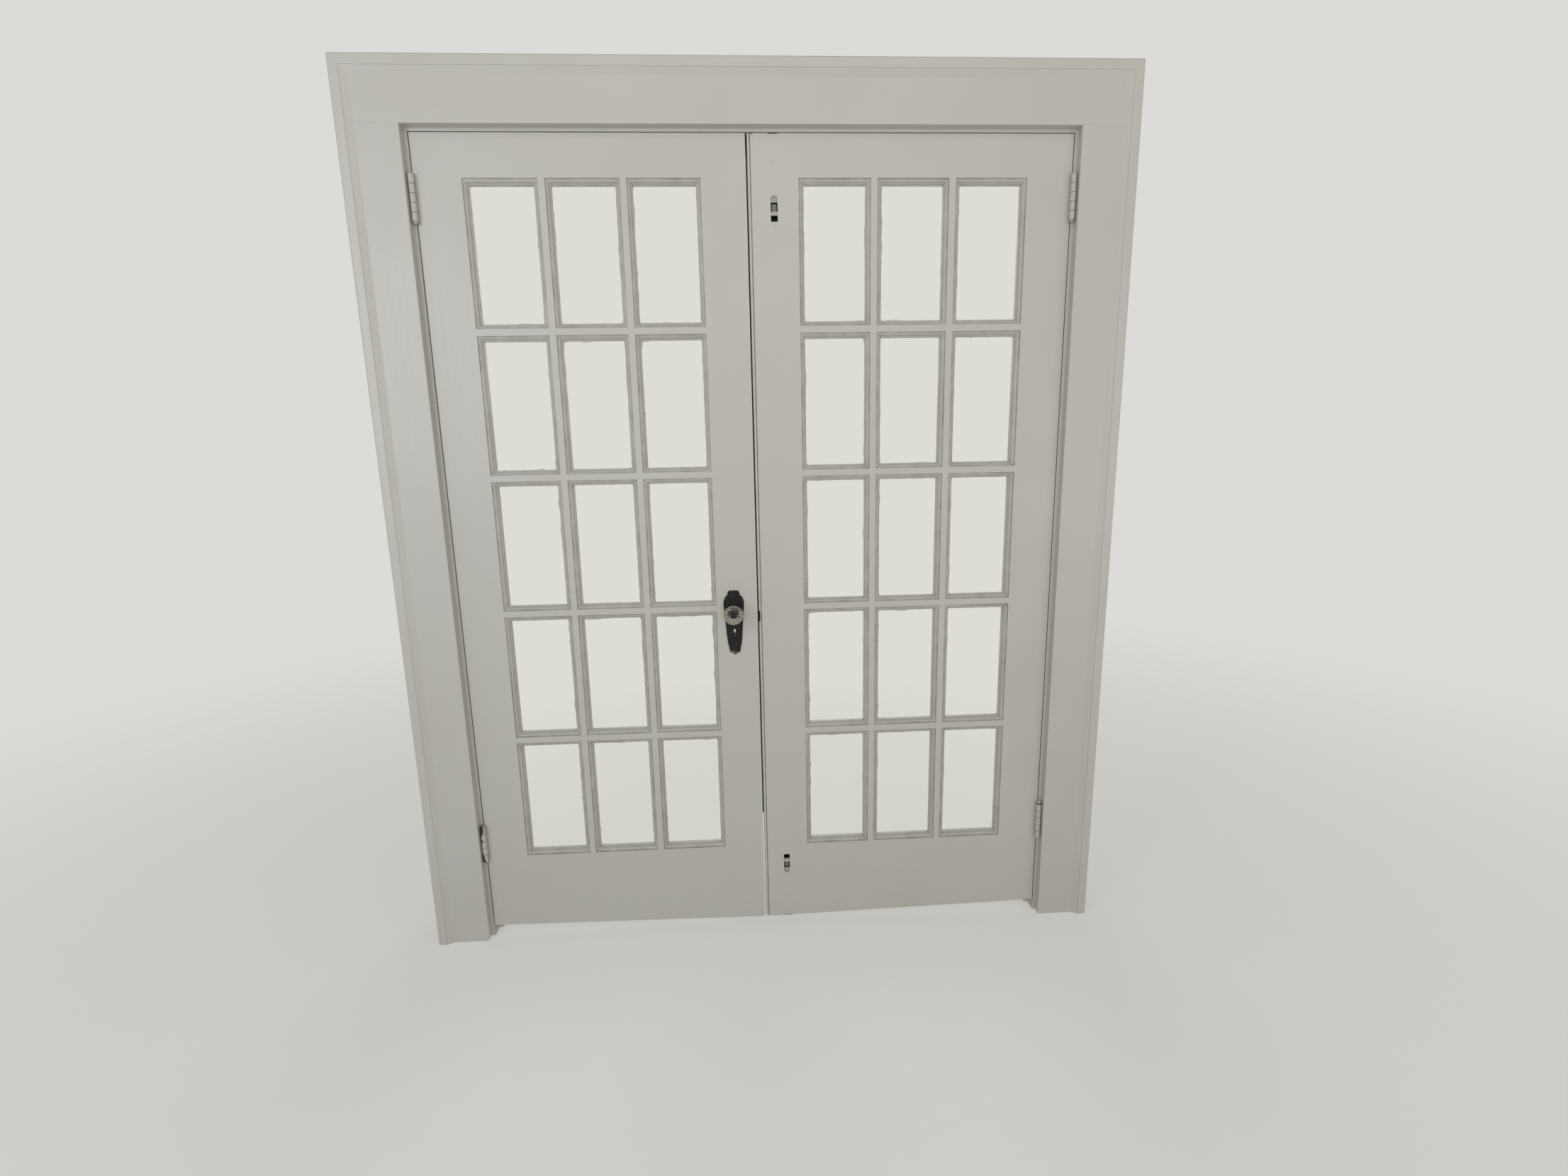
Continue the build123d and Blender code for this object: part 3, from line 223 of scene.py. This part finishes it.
# Japanned cast iron: near black with a soft sheen, sand-cast pits, and brown wear at the lower tip
def japanned_iron():
    material, tree, output = new_material("japanned cast iron")
    place = add(tree, "ShaderNodeTexCoord").outputs["Object"]
    pit_size, pit_depth = 1.5 * MM, 0.3 * MM
    patch_size = 14 * MM
    worn_height = 14 * MM
    tip = escutcheon_low[2]
    pits = add(tree, "ShaderNodeTexNoise", {"Vector": place, "Scale": 1 / pit_size, "Detail": 3.0})
    patches = add(tree, "ShaderNodeTexNoise", {"Vector": place, "Scale": 1 / patch_size, "Detail": 4.0})
    height = add(tree, "ShaderNodeSeparateXYZ", {"Vector": place})
    near_tip = add(tree, "ShaderNodeMapRange", {"Value": height.outputs["Z"], "From Min": tip,
                                                "From Max": tip + worn_height, "To Min": 0.55, "To Max": 0.0})
    worn = add(tree, "ShaderNodeMath", {0: patches, 1: near_tip}, operation="ADD")
    wear = add(tree, "ShaderNodeValToRGB", {"Fac": worn}, [(0.62, grey(0)), (0.78, grey(1))])
    colour = add(tree, "ShaderNodeMix", {"Factor": wear, "A": linear("#0c0b0a"), "B": linear("#5c5248")},
                 data_type="RGBA")
    bump = add(tree, "ShaderNodeBump", {"Height": pits, "Strength": 0.25, "Distance": pit_depth})
    iron = add(tree, "ShaderNodeBsdfPrincipled", {"Base Color": colour.outputs["Result"], "Roughness": 0.5,
                                                  "IOR": 1.4, "Normal": bump})
    finish_with(tree, output, iron)
    return material


def between(tree, value, low, high):
    """Mask of where a coordinate lies between two places."""
    above = add(tree, "ShaderNodeMath", {0: value, 1: low}, operation="GREATER_THAN")
    below = add(tree, "ShaderNodeMath", {0: value, 1: high}, operation="LESS_THAN")
    return add(tree, "ShaderNodeMath", {0: above, 1: below}, operation="MULTIPLY")


def chips_on_low_hinge(tree, where, flakes):
    """Mask of chips, which gather at the ends of the lower left hinge, most on the jamb's side."""
    bare_from, bare_to = low_hinge[0] + 3 * MM, low_hinge[0] + 12 * MM
    hinge_end = low_hinge[2] + hinge_height + knuckle_pitch
    above_end = add(tree, "ShaderNodeMath", {0: where.outputs["Z"], 1: low_hinge[2]}, operation="SUBTRACT")
    along = add(tree, "ShaderNodeMath", {0: above_end, 1: hinge_height}, operation="DIVIDE")
    ends = add(tree, "ShaderNodeValToRGB", {"Fac": along}, [
        (0.0, grey(0.5)), (0.16, grey(0.4)), (0.3, grey(0.0)), (0.5, grey(0.1)), (0.6, grey(0.25)),
        (0.72, grey(0.1)), (0.86, grey(0.45)), (1.0, grey(0.5))])
    jamb_side = add(tree, "ShaderNodeMapRange", {"Value": where.outputs["X"], "From Min": bare_from,
                                                 "From Max": bare_to, "To Min": 0.1, "To Max": -0.35})
    at_end = add(tree, "ShaderNodeMath", {0: flakes, 1: ends}, operation="ADD")
    likely = add(tree, "ShaderNodeMath", {0: at_end, 1: jamb_side}, operation="ADD")
    chips = add(tree, "ShaderNodeValToRGB", {"Fac": likely}, [(0.74, grey(0)), (0.8, grey(1))])
    left = add(tree, "ShaderNodeMath", {0: where.outputs["X"], 1: 0.0}, operation="LESS_THAN")
    low = add(tree, "ShaderNodeMath", {0: where.outputs["Z"], 1: hinge_end}, operation="LESS_THAN")
    low_left = add(tree, "ShaderNodeMath", {0: left, 1: low}, operation="MULTIPLY")
    return add(tree, "ShaderNodeMath", {0: chips, 1: low_left}, operation="MULTIPLY")


def shade_at_knuckles(tree, where, on_barrel):
    """Mask of painted shade in the joints between knuckles, drawn about a millimetre wide so that they show.
    """
    mid_height = 1.0
    line_half, fade_half = 0.35 * MM, 0.9 * MM
    rise = high_hinge[2] - hinge_height - low_hinge[2]
    upper = add(tree, "ShaderNodeMath", {0: where.outputs["Z"], 1: mid_height}, operation="GREATER_THAN")
    risen = add(tree, "ShaderNodeMath", {0: upper, 1: rise}, operation="MULTIPLY")
    base = add(tree, "ShaderNodeMath", {0: low_hinge[2], 1: risen}, operation="ADD")
    above_base = add(tree, "ShaderNodeMath", {0: where.outputs["Z"], 1: base}, operation="SUBTRACT")
    turns = add(tree, "ShaderNodeMath", {0: above_base, 1: knuckle_pitch}, operation="DIVIDE")
    share = add(tree, "ShaderNodeMath", {0: turns, 1: 0.5}, operation="PINGPONG")
    from_joint = add(tree, "ShaderNodeMath", {0: share, 1: knuckle_pitch}, operation="MULTIPLY")
    joint = add(tree, "ShaderNodeMapRange", {"Value": from_joint, "From Min": line_half,
                                             "From Max": fade_half, "To Min": 0.85, "To Max": 0.0})
    return add(tree, "ShaderNodeMath", {0: joint, 1: on_barrel}, operation="MULTIPLY")


def slot_shade_and_black_screws(tree, where):
    """Mask of painted shade in the flush bolts' slots, darker with depth, and of the blackened screws at the
    lock.
    """
    slot_depth = 10 * MM
    bolt_side = 200 * MM
    # Painted shade: the deeper into the slot, the darker the paint
    depth = add(tree, "ShaderNodeMapRange", {"Value": where.outputs["Y"], "From Min": leaf_face_y,
                                             "From Max": leaf_face_y + slot_depth,
                                             "To Min": 0.0, "To Max": 1.0})
    deep = add(tree, "ShaderNodeValToRGB", {"Fac": depth}, [
        (0.1, grey(0)), (0.33, grey(0.28)), (0.5, grey(0.65)), (0.9, grey(1))])
    at_bolts = between(tree, where.outputs["X"], 0.0, bolt_side)
    in_slot = add(tree, "ShaderNodeMath", {0: deep, 1: at_bolts}, operation="MULTIPLY")
    at_lock = between(tree, where.outputs["X"], escutcheon_low[0], 0.0)
    return add(tree, "ShaderNodeMath", {0: in_slot, 1: at_lock}, operation="MAXIMUM")


# Steel fittings under the same enamel as the wood, with painted shade over the hinge barrels and in lines
# where the hinges' knuckles meet, chips down to brown metal on the lower left hinge, painted shade in the
# flush bolts' slots, and black screws at the lock
def enamelled_steel():
    material, tree, output = new_material("enamelled steel")
    place = add(tree, "ShaderNodeTexCoord").outputs["Object"]
    where = add(tree, "ShaderNodeSeparateXYZ", {"Vector": place})
    flake_size, flake_depth = 9 * MM, 0.5 * MM
    barrel_shade_share = 0.12
    flakes = add(tree, "ShaderNodeTexNoise", {"Vector": place, "Scale": 1 / flake_size, "Detail": 5.0,
                                              "Roughness": 0.65})
    # Painted shade: what stands in front of the leaf's face, the hinge barrels most, is darkened a little,
    # since the round barrels catch more lamp light than the flat wood
    on_barrel = add(tree, "ShaderNodeMath", {0: where.outputs["Y"], 1: leaf_face_y}, operation="LESS_THAN")
    barrel_shade = add(tree, "ShaderNodeMath", {0: on_barrel, 1: barrel_shade_share}, operation="MULTIPLY")
    colour = drifting_enamel(tree, place)
    coats = [(barrel_shade, enamel_grime_and_shade),
             (chips_on_low_hinge(tree, where, flakes), "#2f2822"),
             (shade_at_knuckles(tree, where, on_barrel), "#38332d"),
             (slot_shade_and_black_screws(tree, where), "#12100f")]
    for mask, coat_colour in coats:
        colour = add(tree, "ShaderNodeMix", {"Factor": mask, "A": colour, "B": linear(coat_colour)},
                     data_type="RGBA").outputs["Result"]
    bump = add(tree, "ShaderNodeBump", {"Height": flakes, "Strength": 0.2, "Distance": flake_depth})
    paint = add(tree, "ShaderNodeBsdfPrincipled", {"Base Color": colour, "Roughness": 0.42, "Normal": bump})
    finish_with(tree, output, paint)
    return material


# Mild steel that has dulled indoors: grey, with brown bloom and fine scratches
def dull_steel():
    material, tree, output = new_material("dulled mild steel")
    place = add(tree, "ShaderNodeTexCoord").outputs["Object"]
    bloom_size = 12 * MM
    scratch_length, scratch_width, scratch_depth = 9 * MM, 0.6 * MM, 0.1 * MM
    bloom = add(tree, "ShaderNodeTexNoise", {"Vector": place, "Scale": 1 / bloom_size, "Detail": 5.0})
    tint = add(tree, "ShaderNodeValToRGB", {"Fac": bloom}, [
        (0.4, linear("#8b8883")), (0.65, linear("#5e5144"))])
    scale = (1 / scratch_length, 1 / scratch_width, 1 / scratch_width)
    stretched = add(tree, "ShaderNodeMapping", {"Vector": place, "Scale": scale})
    lines = add(tree, "ShaderNodeTexNoise", {"Vector": stretched, "Scale": 1.0, "Detail": 2.0})
    bump = add(tree, "ShaderNodeBump", {"Height": lines, "Strength": 0.15, "Distance": scratch_depth})
    steel = add(tree, "ShaderNodeBsdfPrincipled", {"Base Color": tint, "Metallic": 0.85, "Roughness": 0.48,
                                                   "Normal": bump})
    finish_with(tree, output, steel)
    return material


# Cast brass gone brown with handling, brighter where fingers rub
def tarnished_brass():
    material, tree, output = new_material("tarnished brass")
    place = add(tree, "ShaderNodeTexCoord").outputs["Object"]
    patch_size = 8 * MM
    barrel_shade_share = add(tree, "ShaderNodeTexNoise", {"Vector": place, "Scale": 1 / patch_size, "Detail": 4.0})
    tint = add(tree, "ShaderNodeValToRGB", {"Fac": barrel_shade_share}, [
        (0.35, linear("#4a4134")), (0.7, linear("#7d6c4c"))])
    gloss = add(tree, "ShaderNodeMapRange", {"Value": barrel_shade_share, "From Min": 0.3, "From Max": 0.7,
                                             "To Min": 0.5, "To Max": 0.3})
    brass = add(tree, "ShaderNodeBsdfPrincipled", {"Base Color": tint, "Metallic": 1.0, "Roughness": gloss})
    finish_with(tree, output, brass)
    return material


# Softwood stained dark, with its grain running up; the dark colour is painted shade for the gap between the
# leaves
def gap_shade_wood():
    material, tree, output = new_material("dark wood as painted gap shade")
    place = add(tree, "ShaderNodeTexCoord").outputs["Object"]
    grain_width, grain_length, grain_depth = 1.2 * MM, 60 * MM, 0.2 * MM
    scale = (1 / grain_width, 1 / grain_width, 1 / grain_length)
    stretched = add(tree, "ShaderNodeMapping", {"Vector": place, "Scale": scale})
    grain = add(tree, "ShaderNodeTexNoise", {"Vector": stretched, "Scale": 1.0, "Detail": 3.0})
    tint = add(tree, "ShaderNodeValToRGB", {"Fac": grain}, [
        (0.35, linear("#1c1713")), (0.7, linear("#2e261f"))])
    bump = add(tree, "ShaderNodeBump", {"Height": grain, "Strength": 0.3, "Distance": grain_depth})
    wood = add(tree, "ShaderNodeBsdfPrincipled", {"Base Color": tint, "Roughness": 0.6, "Normal": bump})
    finish_with(tree, output, wood)
    return material


upright_enamel = brushed_enamel("brushed enamel, upright strokes", "Z")
level_enamel = brushed_enamel("brushed enamel, level strokes", "X")
window_glass = drawn_window_glass()
film_enamel = thin_enamel()
knob_glass = pressed_glass()
knob_foil = dulled_foil()
black_iron = japanned_iron()
painted_steel = enamelled_steel()
bare_steel = dull_steel()
knob_brass = tarnished_brass()


def coat(names, material):
    """Give CAD nodes a finish."""
    for name in names:
        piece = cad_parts[name]
        piece.data.materials.clear()
        piece.data.materials.append(material)


coat(node_names("_jamb", "_stop", "_casing", "_band", "_stile", "_upright_bars", "_beads"), upright_enamel)
coat(node_names("head_jamb", "head_stop", "head_casing", "head_rear_casing", "head_back_band", "_rail",
                "_cross_bars"), level_enamel)
coat(node_names("_panes"), window_glass)
coat(node_names("_hinge_plates", "hinge_pins", "_screws", "_flush_plate", "_flush_bolt"), painted_steel)
coat(node_names("_escutcheon", "lock_face_plate", "strike_plate"), black_iron)
coat(node_names("_knob_shank"), knob_brass)
coat(["lock_case", "lock_cover", "latch_spring", "lock_hub", "spindle", "latch_bolt", "dead_bolt",
      "bolt_guides", "bolt_keeper"], bare_steel)


# Modelling helpers
def pick(piece):
    """Make a piece the only selected object."""
    bpy.ops.object.select_all(action="DESELECT")
    piece.select_set(True)
    bpy.context.view_layer.objects.active = piece


def edit(piece):
    """Enter edit mode on one piece with everything selected."""
    pick(piece)
    bpy.ops.object.mode_set(mode="EDIT")
    bpy.ops.mesh.select_all(action="SELECT")


def leave_edit():
    bpy.ops.object.mode_set(mode="OBJECT")


def face_outwards(piece):
    edit(piece)
    bpy.ops.mesh.normals_make_consistent(inside=False)
    leave_edit()


def settle(piece, name, material, body):
    """Apply a piece's place to its mesh, give it its finish and hang it on its body."""
    pick(piece)
    bpy.ops.object.transform_apply(location=True, rotation=True, scale=True)
    piece.name = name
    piece.data.materials.clear()
    piece.data.materials.append(material)
    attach(piece, body)


def joined(pieces):
    """Join several objects into the first."""
    pick(pieces[0])
    for piece in pieces:
        piece.select_set(True)
    bpy.ops.object.join()
    return pieces[0]


def pick_ring(piece, start, count):
    """Enter edit mode with one ring of vertices selected."""
    edit(piece)
    bpy.ops.mesh.select_all(action="DESELECT")
    leave_edit()
    picked = range(start, start + count)
    for vertex in piece.data.vertices:
        vertex.select = vertex.index in picked
    for side in piece.data.edges:
        side.select = side.vertices[0] in picked and side.vertices[1] in picked
    bpy.ops.object.mode_set(mode="EDIT")


def skinned(rings, capped):
    """Piece skinned over rings of points, one after another, and capped at both ends if asked."""
    count = len(rings[0])
    bpy.ops.mesh.primitive_circle_add(vertices=count, fill_type="NOTHING", location=(0, 0, 0))
    piece = bpy.context.active_object
    for index, ring in enumerate(rings):
        if index:
            pick_ring(piece, (index - 1) * count, count)
            bpy.ops.mesh.extrude_edges_move()
            leave_edit()
        for vertex, point in zip(piece.data.vertices[index * count:], ring):
            vertex.co = point
    for first in (0, (len(rings) - 1) * count) if capped else ():
        pick_ring(piece, first, count)
        bpy.ops.mesh.edge_face_add()
        leave_edit()
    face_outwards(piece)
    return piece


# Paint that was brushed past the moulding onto the glass: a thin ragged border round every pane
columns, rows = 3, 5
light_w, light_h = 172 * MM, 330.6 * MM
bar_face = 16 * MM
sight_inset = 11.3 * MM
sight_half_w, sight_half_h = light_w / 2 - sight_inset, light_h / 2 - sight_inset
film_thickness = 0.25 * MM
film_points = 240
film_corner = 5 * MM

# How far the brush ran: mostly this far, in many small waves, with a few wider slips; sizes in millimetres
usual_run, least_run = 0.9 * MM, 0.25 * MM
wave_count, wave_size, wave_turns = 8, (0.06, 0.24), (5, 70)
slip_count, slip_size, slip_width = 6, (0.8, 2.4), (1.5, 5)


def rounded_rectangle(half_w, half_h, radius, count):
    """Points at even steps round a rectangle with round corners, each with its outward normal."""
    straight_w, straight_h = 2 * (half_w - radius), 2 * (half_h - radius)
    arc = radius * math.pi / 2
    total = 2 * (straight_w + straight_h) + 4 * arc
    corners = [(half_w - radius, half_h - radius, 0), (radius - half_w, half_h - radius, 90),
               (radius - half_w, radius - half_h, 180), (half_w - radius, radius - half_h, 270)]
    points = []
    for step in range(count):
        at = step * total / count
        for index, (cx, cz, start) in enumerate(corners):
            side = straight_w if index % 2 == 0 else straight_h
            if at < arc:
                angle = math.radians(start) + at / radius
                nx, nz = math.cos(angle), math.sin(angle)
                points.append((cx + radius * nx, cz + radius * nz, nx, nz))
                break
            at -= arc
            if at < side:
                angle = math.radians(start + 90)
                nx, nz = math.cos(angle), math.sin(angle)
                points.append((cx + radius * nx - at * nz, cz + radius * nz + at * nx, nx, nz))
                break
            at -= side
    return points


def ragged_edge(seed, count):
    """How far the brush ran past the moulding at each point, in metres."""
    dice = random.Random(seed)
    waves = [(dice.uniform(*wave_size) * MM, dice.randint(*wave_turns), dice.uniform(0, 2 * math.pi))
             for _ in range(wave_count)]
    slips = [(dice.randrange(count), dice.uniform(*slip_size) * MM, dice.uniform(*slip_width))
             for _ in range(slip_count)]
    reach = []
    for step in range(count):
        turn = 2 * math.pi * step / count
        run = usual_run + sum(size * math.sin(times * turn + phase) for size, times, phase in waves)
        for centre, size, width in slips:
            apart = min(abs(step - centre), count - abs(step - centre))
            run += size * math.exp(-(apart / width) ** 2)
        reach.append(max(least_run, run))
    return reach


def paint_border(centre_x, centre_z, seed):
    """One pane's border: the ragged inner line, stretched out to the moulding and given its thickness."""
    bpy.ops.mesh.primitive_circle_add(vertices=film_points, radius=sight_half_w, fill_type="NOTHING",
                                      location=(centre_x, glass_front_y, centre_z),
                                      rotation=(math.pi / 2, 0, 0))
    border = bpy.context.active_object
    bpy.ops.object.transform_apply(location=True, rotation=True, scale=True)
    ring = rounded_rectangle(sight_half_w, sight_half_h, film_corner, film_points)
    runs = ragged_edge(seed, film_points)
    for vertex, (x, z, nx, nz), run in zip(border.data.vertices, ring, runs):
        vertex.co = (centre_x + (x - nx * run), glass_front_y, centre_z + (z - nz * run))
    edit(border)
    bpy.ops.mesh.extrude_edges_move()
    leave_edit()
    for vertex, (x, z, _, _) in zip(border.data.vertices[film_points:], ring):
        stretch = max(abs(x) / sight_half_w, abs(z) / sight_half_h)
        vertex.co = (centre_x + x / stretch, glass_front_y, centre_z + z / stretch)
    thickness = border.modifiers.new("thickness", "SOLIDIFY")
    thickness.thickness = film_thickness
    thickness.offset = 0.0
    bpy.ops.object.modifier_apply(modifier="thickness")
    return border


def paint_borders(leaf, first_seed):
    low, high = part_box(leaf + "_panes")
    middle_x, middle_z = (low[0] + high[0]) / 2, (low[2] + high[2]) / 2
    borders = []
    for column in range(columns):
        for row in range(rows):
            x = middle_x + (column - (columns - 1) / 2) * (light_w + bar_face)
            z = middle_z + (row - (rows - 1) / 2) * (light_h + bar_face)
            borders.append(paint_border(x, z, first_seed + column * rows + row))
    film = joined(borders)
    face_outwards(film)
    for vertex in film.data.vertices:
        vertex.co.y -= film_thickness / 2
    settle(film, leaf + "_paint_on_glass", film_enamel, leaf + "_leaf")


paint_borders("left", 11)
paint_borders("right", 71)


# Thin strip planted on the right leaf's edge, which stops the light in the gap between the leaves; its dark
# stain is painted shade for that gap
strip_thickness, strip_width = 3.3 * MM, 3.0 * MM
strip_behind_face = 7.5 * MM
strip_foot = 340 * MM
strip_below_top = 14 * MM
strip_arris = 0.6 * MM


def planted_strip():
    stile_low, stile_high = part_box("right_meeting_stile")
    top = stile_high[2] - strip_below_top
    bpy.ops.mesh.primitive_cube_add(size=1, scale=(strip_thickness, strip_width, top - strip_foot),
                                    location=(stile_low[0] - strip_thickness / 2,
                                              leaf_face_y + strip_behind_face + strip_width / 2,
                                              (strip_foot + top) / 2))
    strip = bpy.context.active_object
    bpy.ops.object.transform_apply(location=True, rotation=True, scale=True)
    eased = strip.modifiers.new("eased arrises", "BEVEL")
    eased.width = strip_arris
    eased.segments = 2
    bpy.ops.object.modifier_apply(modifier="eased arrises")
    settle(strip, "meeting_edge_strip", gap_shade_wood(), "right_leaf")


planted_strip()


# Paint and filler that slope off the front back band onto the casing, round all three sides
cove_w = 15 * MM
cove_edge = 0.4 * MM


def filled_cove():
    band_low, band_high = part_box("left_back_band")
    inner_x = -band_high[0]
    inner_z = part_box("head_back_band")[0][2]
    face_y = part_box("left_casing")[0][1]
    front_y = band_low[1] + cove_edge
    turns = [(-inner_x, 0.0, 1, 0), (-inner_x, inner_z, 1, -1),
             (inner_x, inner_z, -1, -1), (inner_x, 0.0, -1, 0)]
    rings = []
    for x, z, across, down in turns:
        rings.append([(x, face_y, z), (x + across * cove_w, face_y, z + down * cove_w), (x, front_y, z)])
    settle(skinned(rings, True), "front_band_cove", upright_enamel, "frame")


filled_cove()


# Pressed knob: a twelve-sided rim and table in front, and a fluted back whose foil, crimped to a star round
# the dark hollow of the shank, sparkles. Each ring is a share of the depth from the shank's end, a share of
# the radius, and how deep its flutes are cut
knob_sides = 12
knob_inset = 0.99
knob_arris = 0.35 * MM
sharpest_kept = math.radians(12)
foil_thickness = 0.1 * MM
glass_rings = [(0.0, 0.44, 0.0), (0.06, 0.5, 0.04), (0.3, 0.74, 0.06), (0.54, 1.0, 0.0), (0.7, 1.0, 0.0),
               (0.88, 0.77, 0.0), (1.0, 0.5, 0.0)]
foil_rings = [(0.15, 0.53, 0.26), (0.26, 0.65, 0.12), (0.34, 0.73, 0.08), (0.53, 0.93, 0.0)]


def knob_rings(rings, centre, radius, start, depth):
    """Rings of corners along Y, with a corner at each side's end and one at its middle."""
    corners = 2 * knob_sides
    stack = []
    for share, size, flute in rings:
        ring = []
        for corner in range(corners):
            angle = 2 * math.pi * corner / corners
            r = radius * size * (math.cos(math.pi / knob_sides) - flute if corner % 2 else 1.0)
            ring.append((centre[0] + r * math.cos(angle), start + share * depth,
                         centre[1] + r * math.sin(angle)))
        stack.append(ring)
    return stack


def faceted_knob(node, front):
    low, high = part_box(node)
    centre = ((low[0] + high[0]) / 2, (low[2] + high[2]) / 2)
    radius = knob_inset * (high[0] - low[0]) / 2
    depth = high[1] - low[1]
    start = low[1]
    if front:
        start, depth = high[1], -depth
    knob = skinned(knob_rings(glass_rings, centre, radius, start, depth), True)
    soften = knob.modifiers.new("soft arrises", "BEVEL")
    soften.width = knob_arris
    soften.segments = 2
    soften.limit_method = "ANGLE"
    soften.angle_limit = sharpest_kept
    bpy.ops.object.modifier_apply(modifier="soft arrises")
    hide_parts(node)
    settle(knob, node + "_facets", knob_glass, "knob")
    foil = skinned(knob_rings(foil_rings, centre, radius, start, depth), False)
    thickness = foil.modifiers.new("thickness", "SOLIDIFY")
    thickness.thickness = foil_thickness
    bpy.ops.object.modifier_apply(modifier="thickness")
    settle(foil, node + "_foil", knob_foil, "knob")


faceted_knob("front_knob", True)
faceted_knob("rear_knob", False)


# Floor that fades into the pale background, so that no horizon shows
backdrop = "#dcdbd7"
beyond_glass = "#e7e4de"
pale_floor = "#dcdad6"
floor_size = 120
fade_start, fade_end = 0.6, 4.5


def shown_colour(tree, rays):
    """Backdrop colour, and the brighter one that the window glass looks out on."""
    return add(tree, "ShaderNodeMix", {"Factor": rays.outputs["Is Transmission Ray"], "A": linear(backdrop),
                                       "B": linear(beyond_glass)}, data_type="RGBA").outputs["Result"]


def lay_floor():
    bpy.ops.mesh.primitive_plane_add(size=floor_size, location=(0, 0, 0))
    floor = bpy.context.active_object
    floor.name = "floor"
    material, tree, output = new_material("pale floor")
    place = add(tree, "ShaderNodeTexCoord").outputs["Object"]
    distance = add(tree, "ShaderNodeVectorMath", {0: place}, operation="LENGTH")
    far = add(tree, "ShaderNodeMapRange", {"Value": distance.outputs["Value"], "From Min": fade_start,
                                           "From Max": fade_end, "To Min": 0.45, "To Max": 1.0},
              interpolation_type="SMOOTHSTEP")
    rays = add(tree, "ShaderNodeLightPath")
    through_glass = add(tree, "ShaderNodeMath", {0: rays.outputs["Is Transmission Ray"], 1: 0.35},
                        operation="MULTIPLY")
    share = add(tree, "ShaderNodeMath", {0: far, 1: through_glass}, operation="ADD", use_clamp=True)
    near_floor = add(tree, "ShaderNodeBsdfDiffuse", {"Color": linear(pale_floor)})
    far_floor = add(tree, "ShaderNodeEmission", {"Color": shown_colour(tree, rays), "Strength": 1.0})
    finish_with(tree, output, add(tree, "ShaderNodeMixShader", {0: share, 1: near_floor, 2: far_floor}))
    floor.data.materials.append(material)


def light_world():
    """Even pale surroundings; what the camera, gloss and glass see is the backdrop's own colour."""
    world = bpy.data.worlds.new("studio")
    bpy.context.scene.world = world
    world.use_nodes = True
    tree = world.node_tree
    tree.nodes.clear()
    output = tree.nodes.new("ShaderNodeOutputWorld")
    rays = add(tree, "ShaderNodeLightPath")
    reflected = add(tree, "ShaderNodeMath", {0: rays.outputs["Is Glossy Ray"],
                                             1: rays.outputs["Is Transmission Ray"]}, operation="MAXIMUM")
    seen = add(tree, "ShaderNodeMath", {0: rays.outputs["Is Camera Ray"], 1: reflected}, operation="MAXIMUM")
    lit = add(tree, "ShaderNodeBackground", {"Color": linear("#f1f1ee"), "Strength": 0.41})
    shown = add(tree, "ShaderNodeBackground", {"Color": shown_colour(tree, rays), "Strength": 1.0})
    finish_with(tree, output, add(tree, "ShaderNodeMixShader", {0: seen, 1: lit, 2: shown}))


def soft_lamp(name, place, target, size, watts, colour, in_gloss=True):
    """Area lamp that shows only in what it lights; place, target and size are in metres."""
    lamp = bpy.data.lights.new(name, "AREA")
    lamp.shape = "RECTANGLE"
    lamp.size, lamp.size_y = size
    lamp.energy = watts
    lamp.color = linear(colour)[:3]
    holder = bpy.data.objects.new(name, lamp)
    holder.location = place
    holder.rotation_euler = (Vector(target) - Vector(place)).to_track_quat("-Z", "Y").to_euler()
    holder.visible_camera = False
    holder.visible_transmission = False
    holder.visible_glossy = in_gloss
    bpy.context.scene.collection.objects.link(holder)


def place_camera():
    """Where the photograph was taken from, solved from the doors' edges."""
    film_width, focal_length = 36.0, 15.626
    nearest, farthest = 0.02, 300
    eye = (-17.2 * MM, -1802.2 * MM, 1312.9 * MM)
    tilt, roll, turn = 79.2004, 1.058, -2.8196
    camera = bpy.data.cameras.new("camera")
    camera.sensor_width = film_width
    camera.lens = focal_length
    camera.clip_start = nearest
    camera.clip_end = farthest
    holder = bpy.data.objects.new("camera", camera)
    holder.location = eye
    holder.rotation_euler = (math.radians(tilt), math.radians(roll), math.radians(turn))
    bpy.context.scene.collection.objects.link(holder)
    bpy.context.scene.camera = holder


lay_floor()
light_world()
soft_lamp("window side", place=(-1.95, -2.3, 1.9), target=(-0.3, 0.0, 1.1), size=(0.5, 1.3), watts=18,
          colour="#e6eefb")
soft_lamp("room light", place=(-0.1, -3.4, 1.8), target=(0.0, 0.0, 1.1), size=(2.4, 1.8), watts=29,
          colour="#fdfcfa", in_gloss=False)
soft_lamp("wall bounce", place=(2.9, -2.3, 1.3), target=(0.2, 0.0, 1.0), size=(1.6, 1.8), watts=13,
          colour="#fffbf5")
soft_lamp("ceiling bounce", place=(0.2, -2.1, 3.6), target=(0.0, 0.0, 1.0), size=(2.6, 1.6), watts=11,
          colour="#fffbf5")
soft_lamp("far room", place=(0.3, 3.2, 2.6), target=(0.0, 0.0, 1.0), size=(2.6, 1.8), watts=40,
          colour="#fffdf8")
place_camera()

bpy.context.scene.view_settings.view_transform = "Standard"
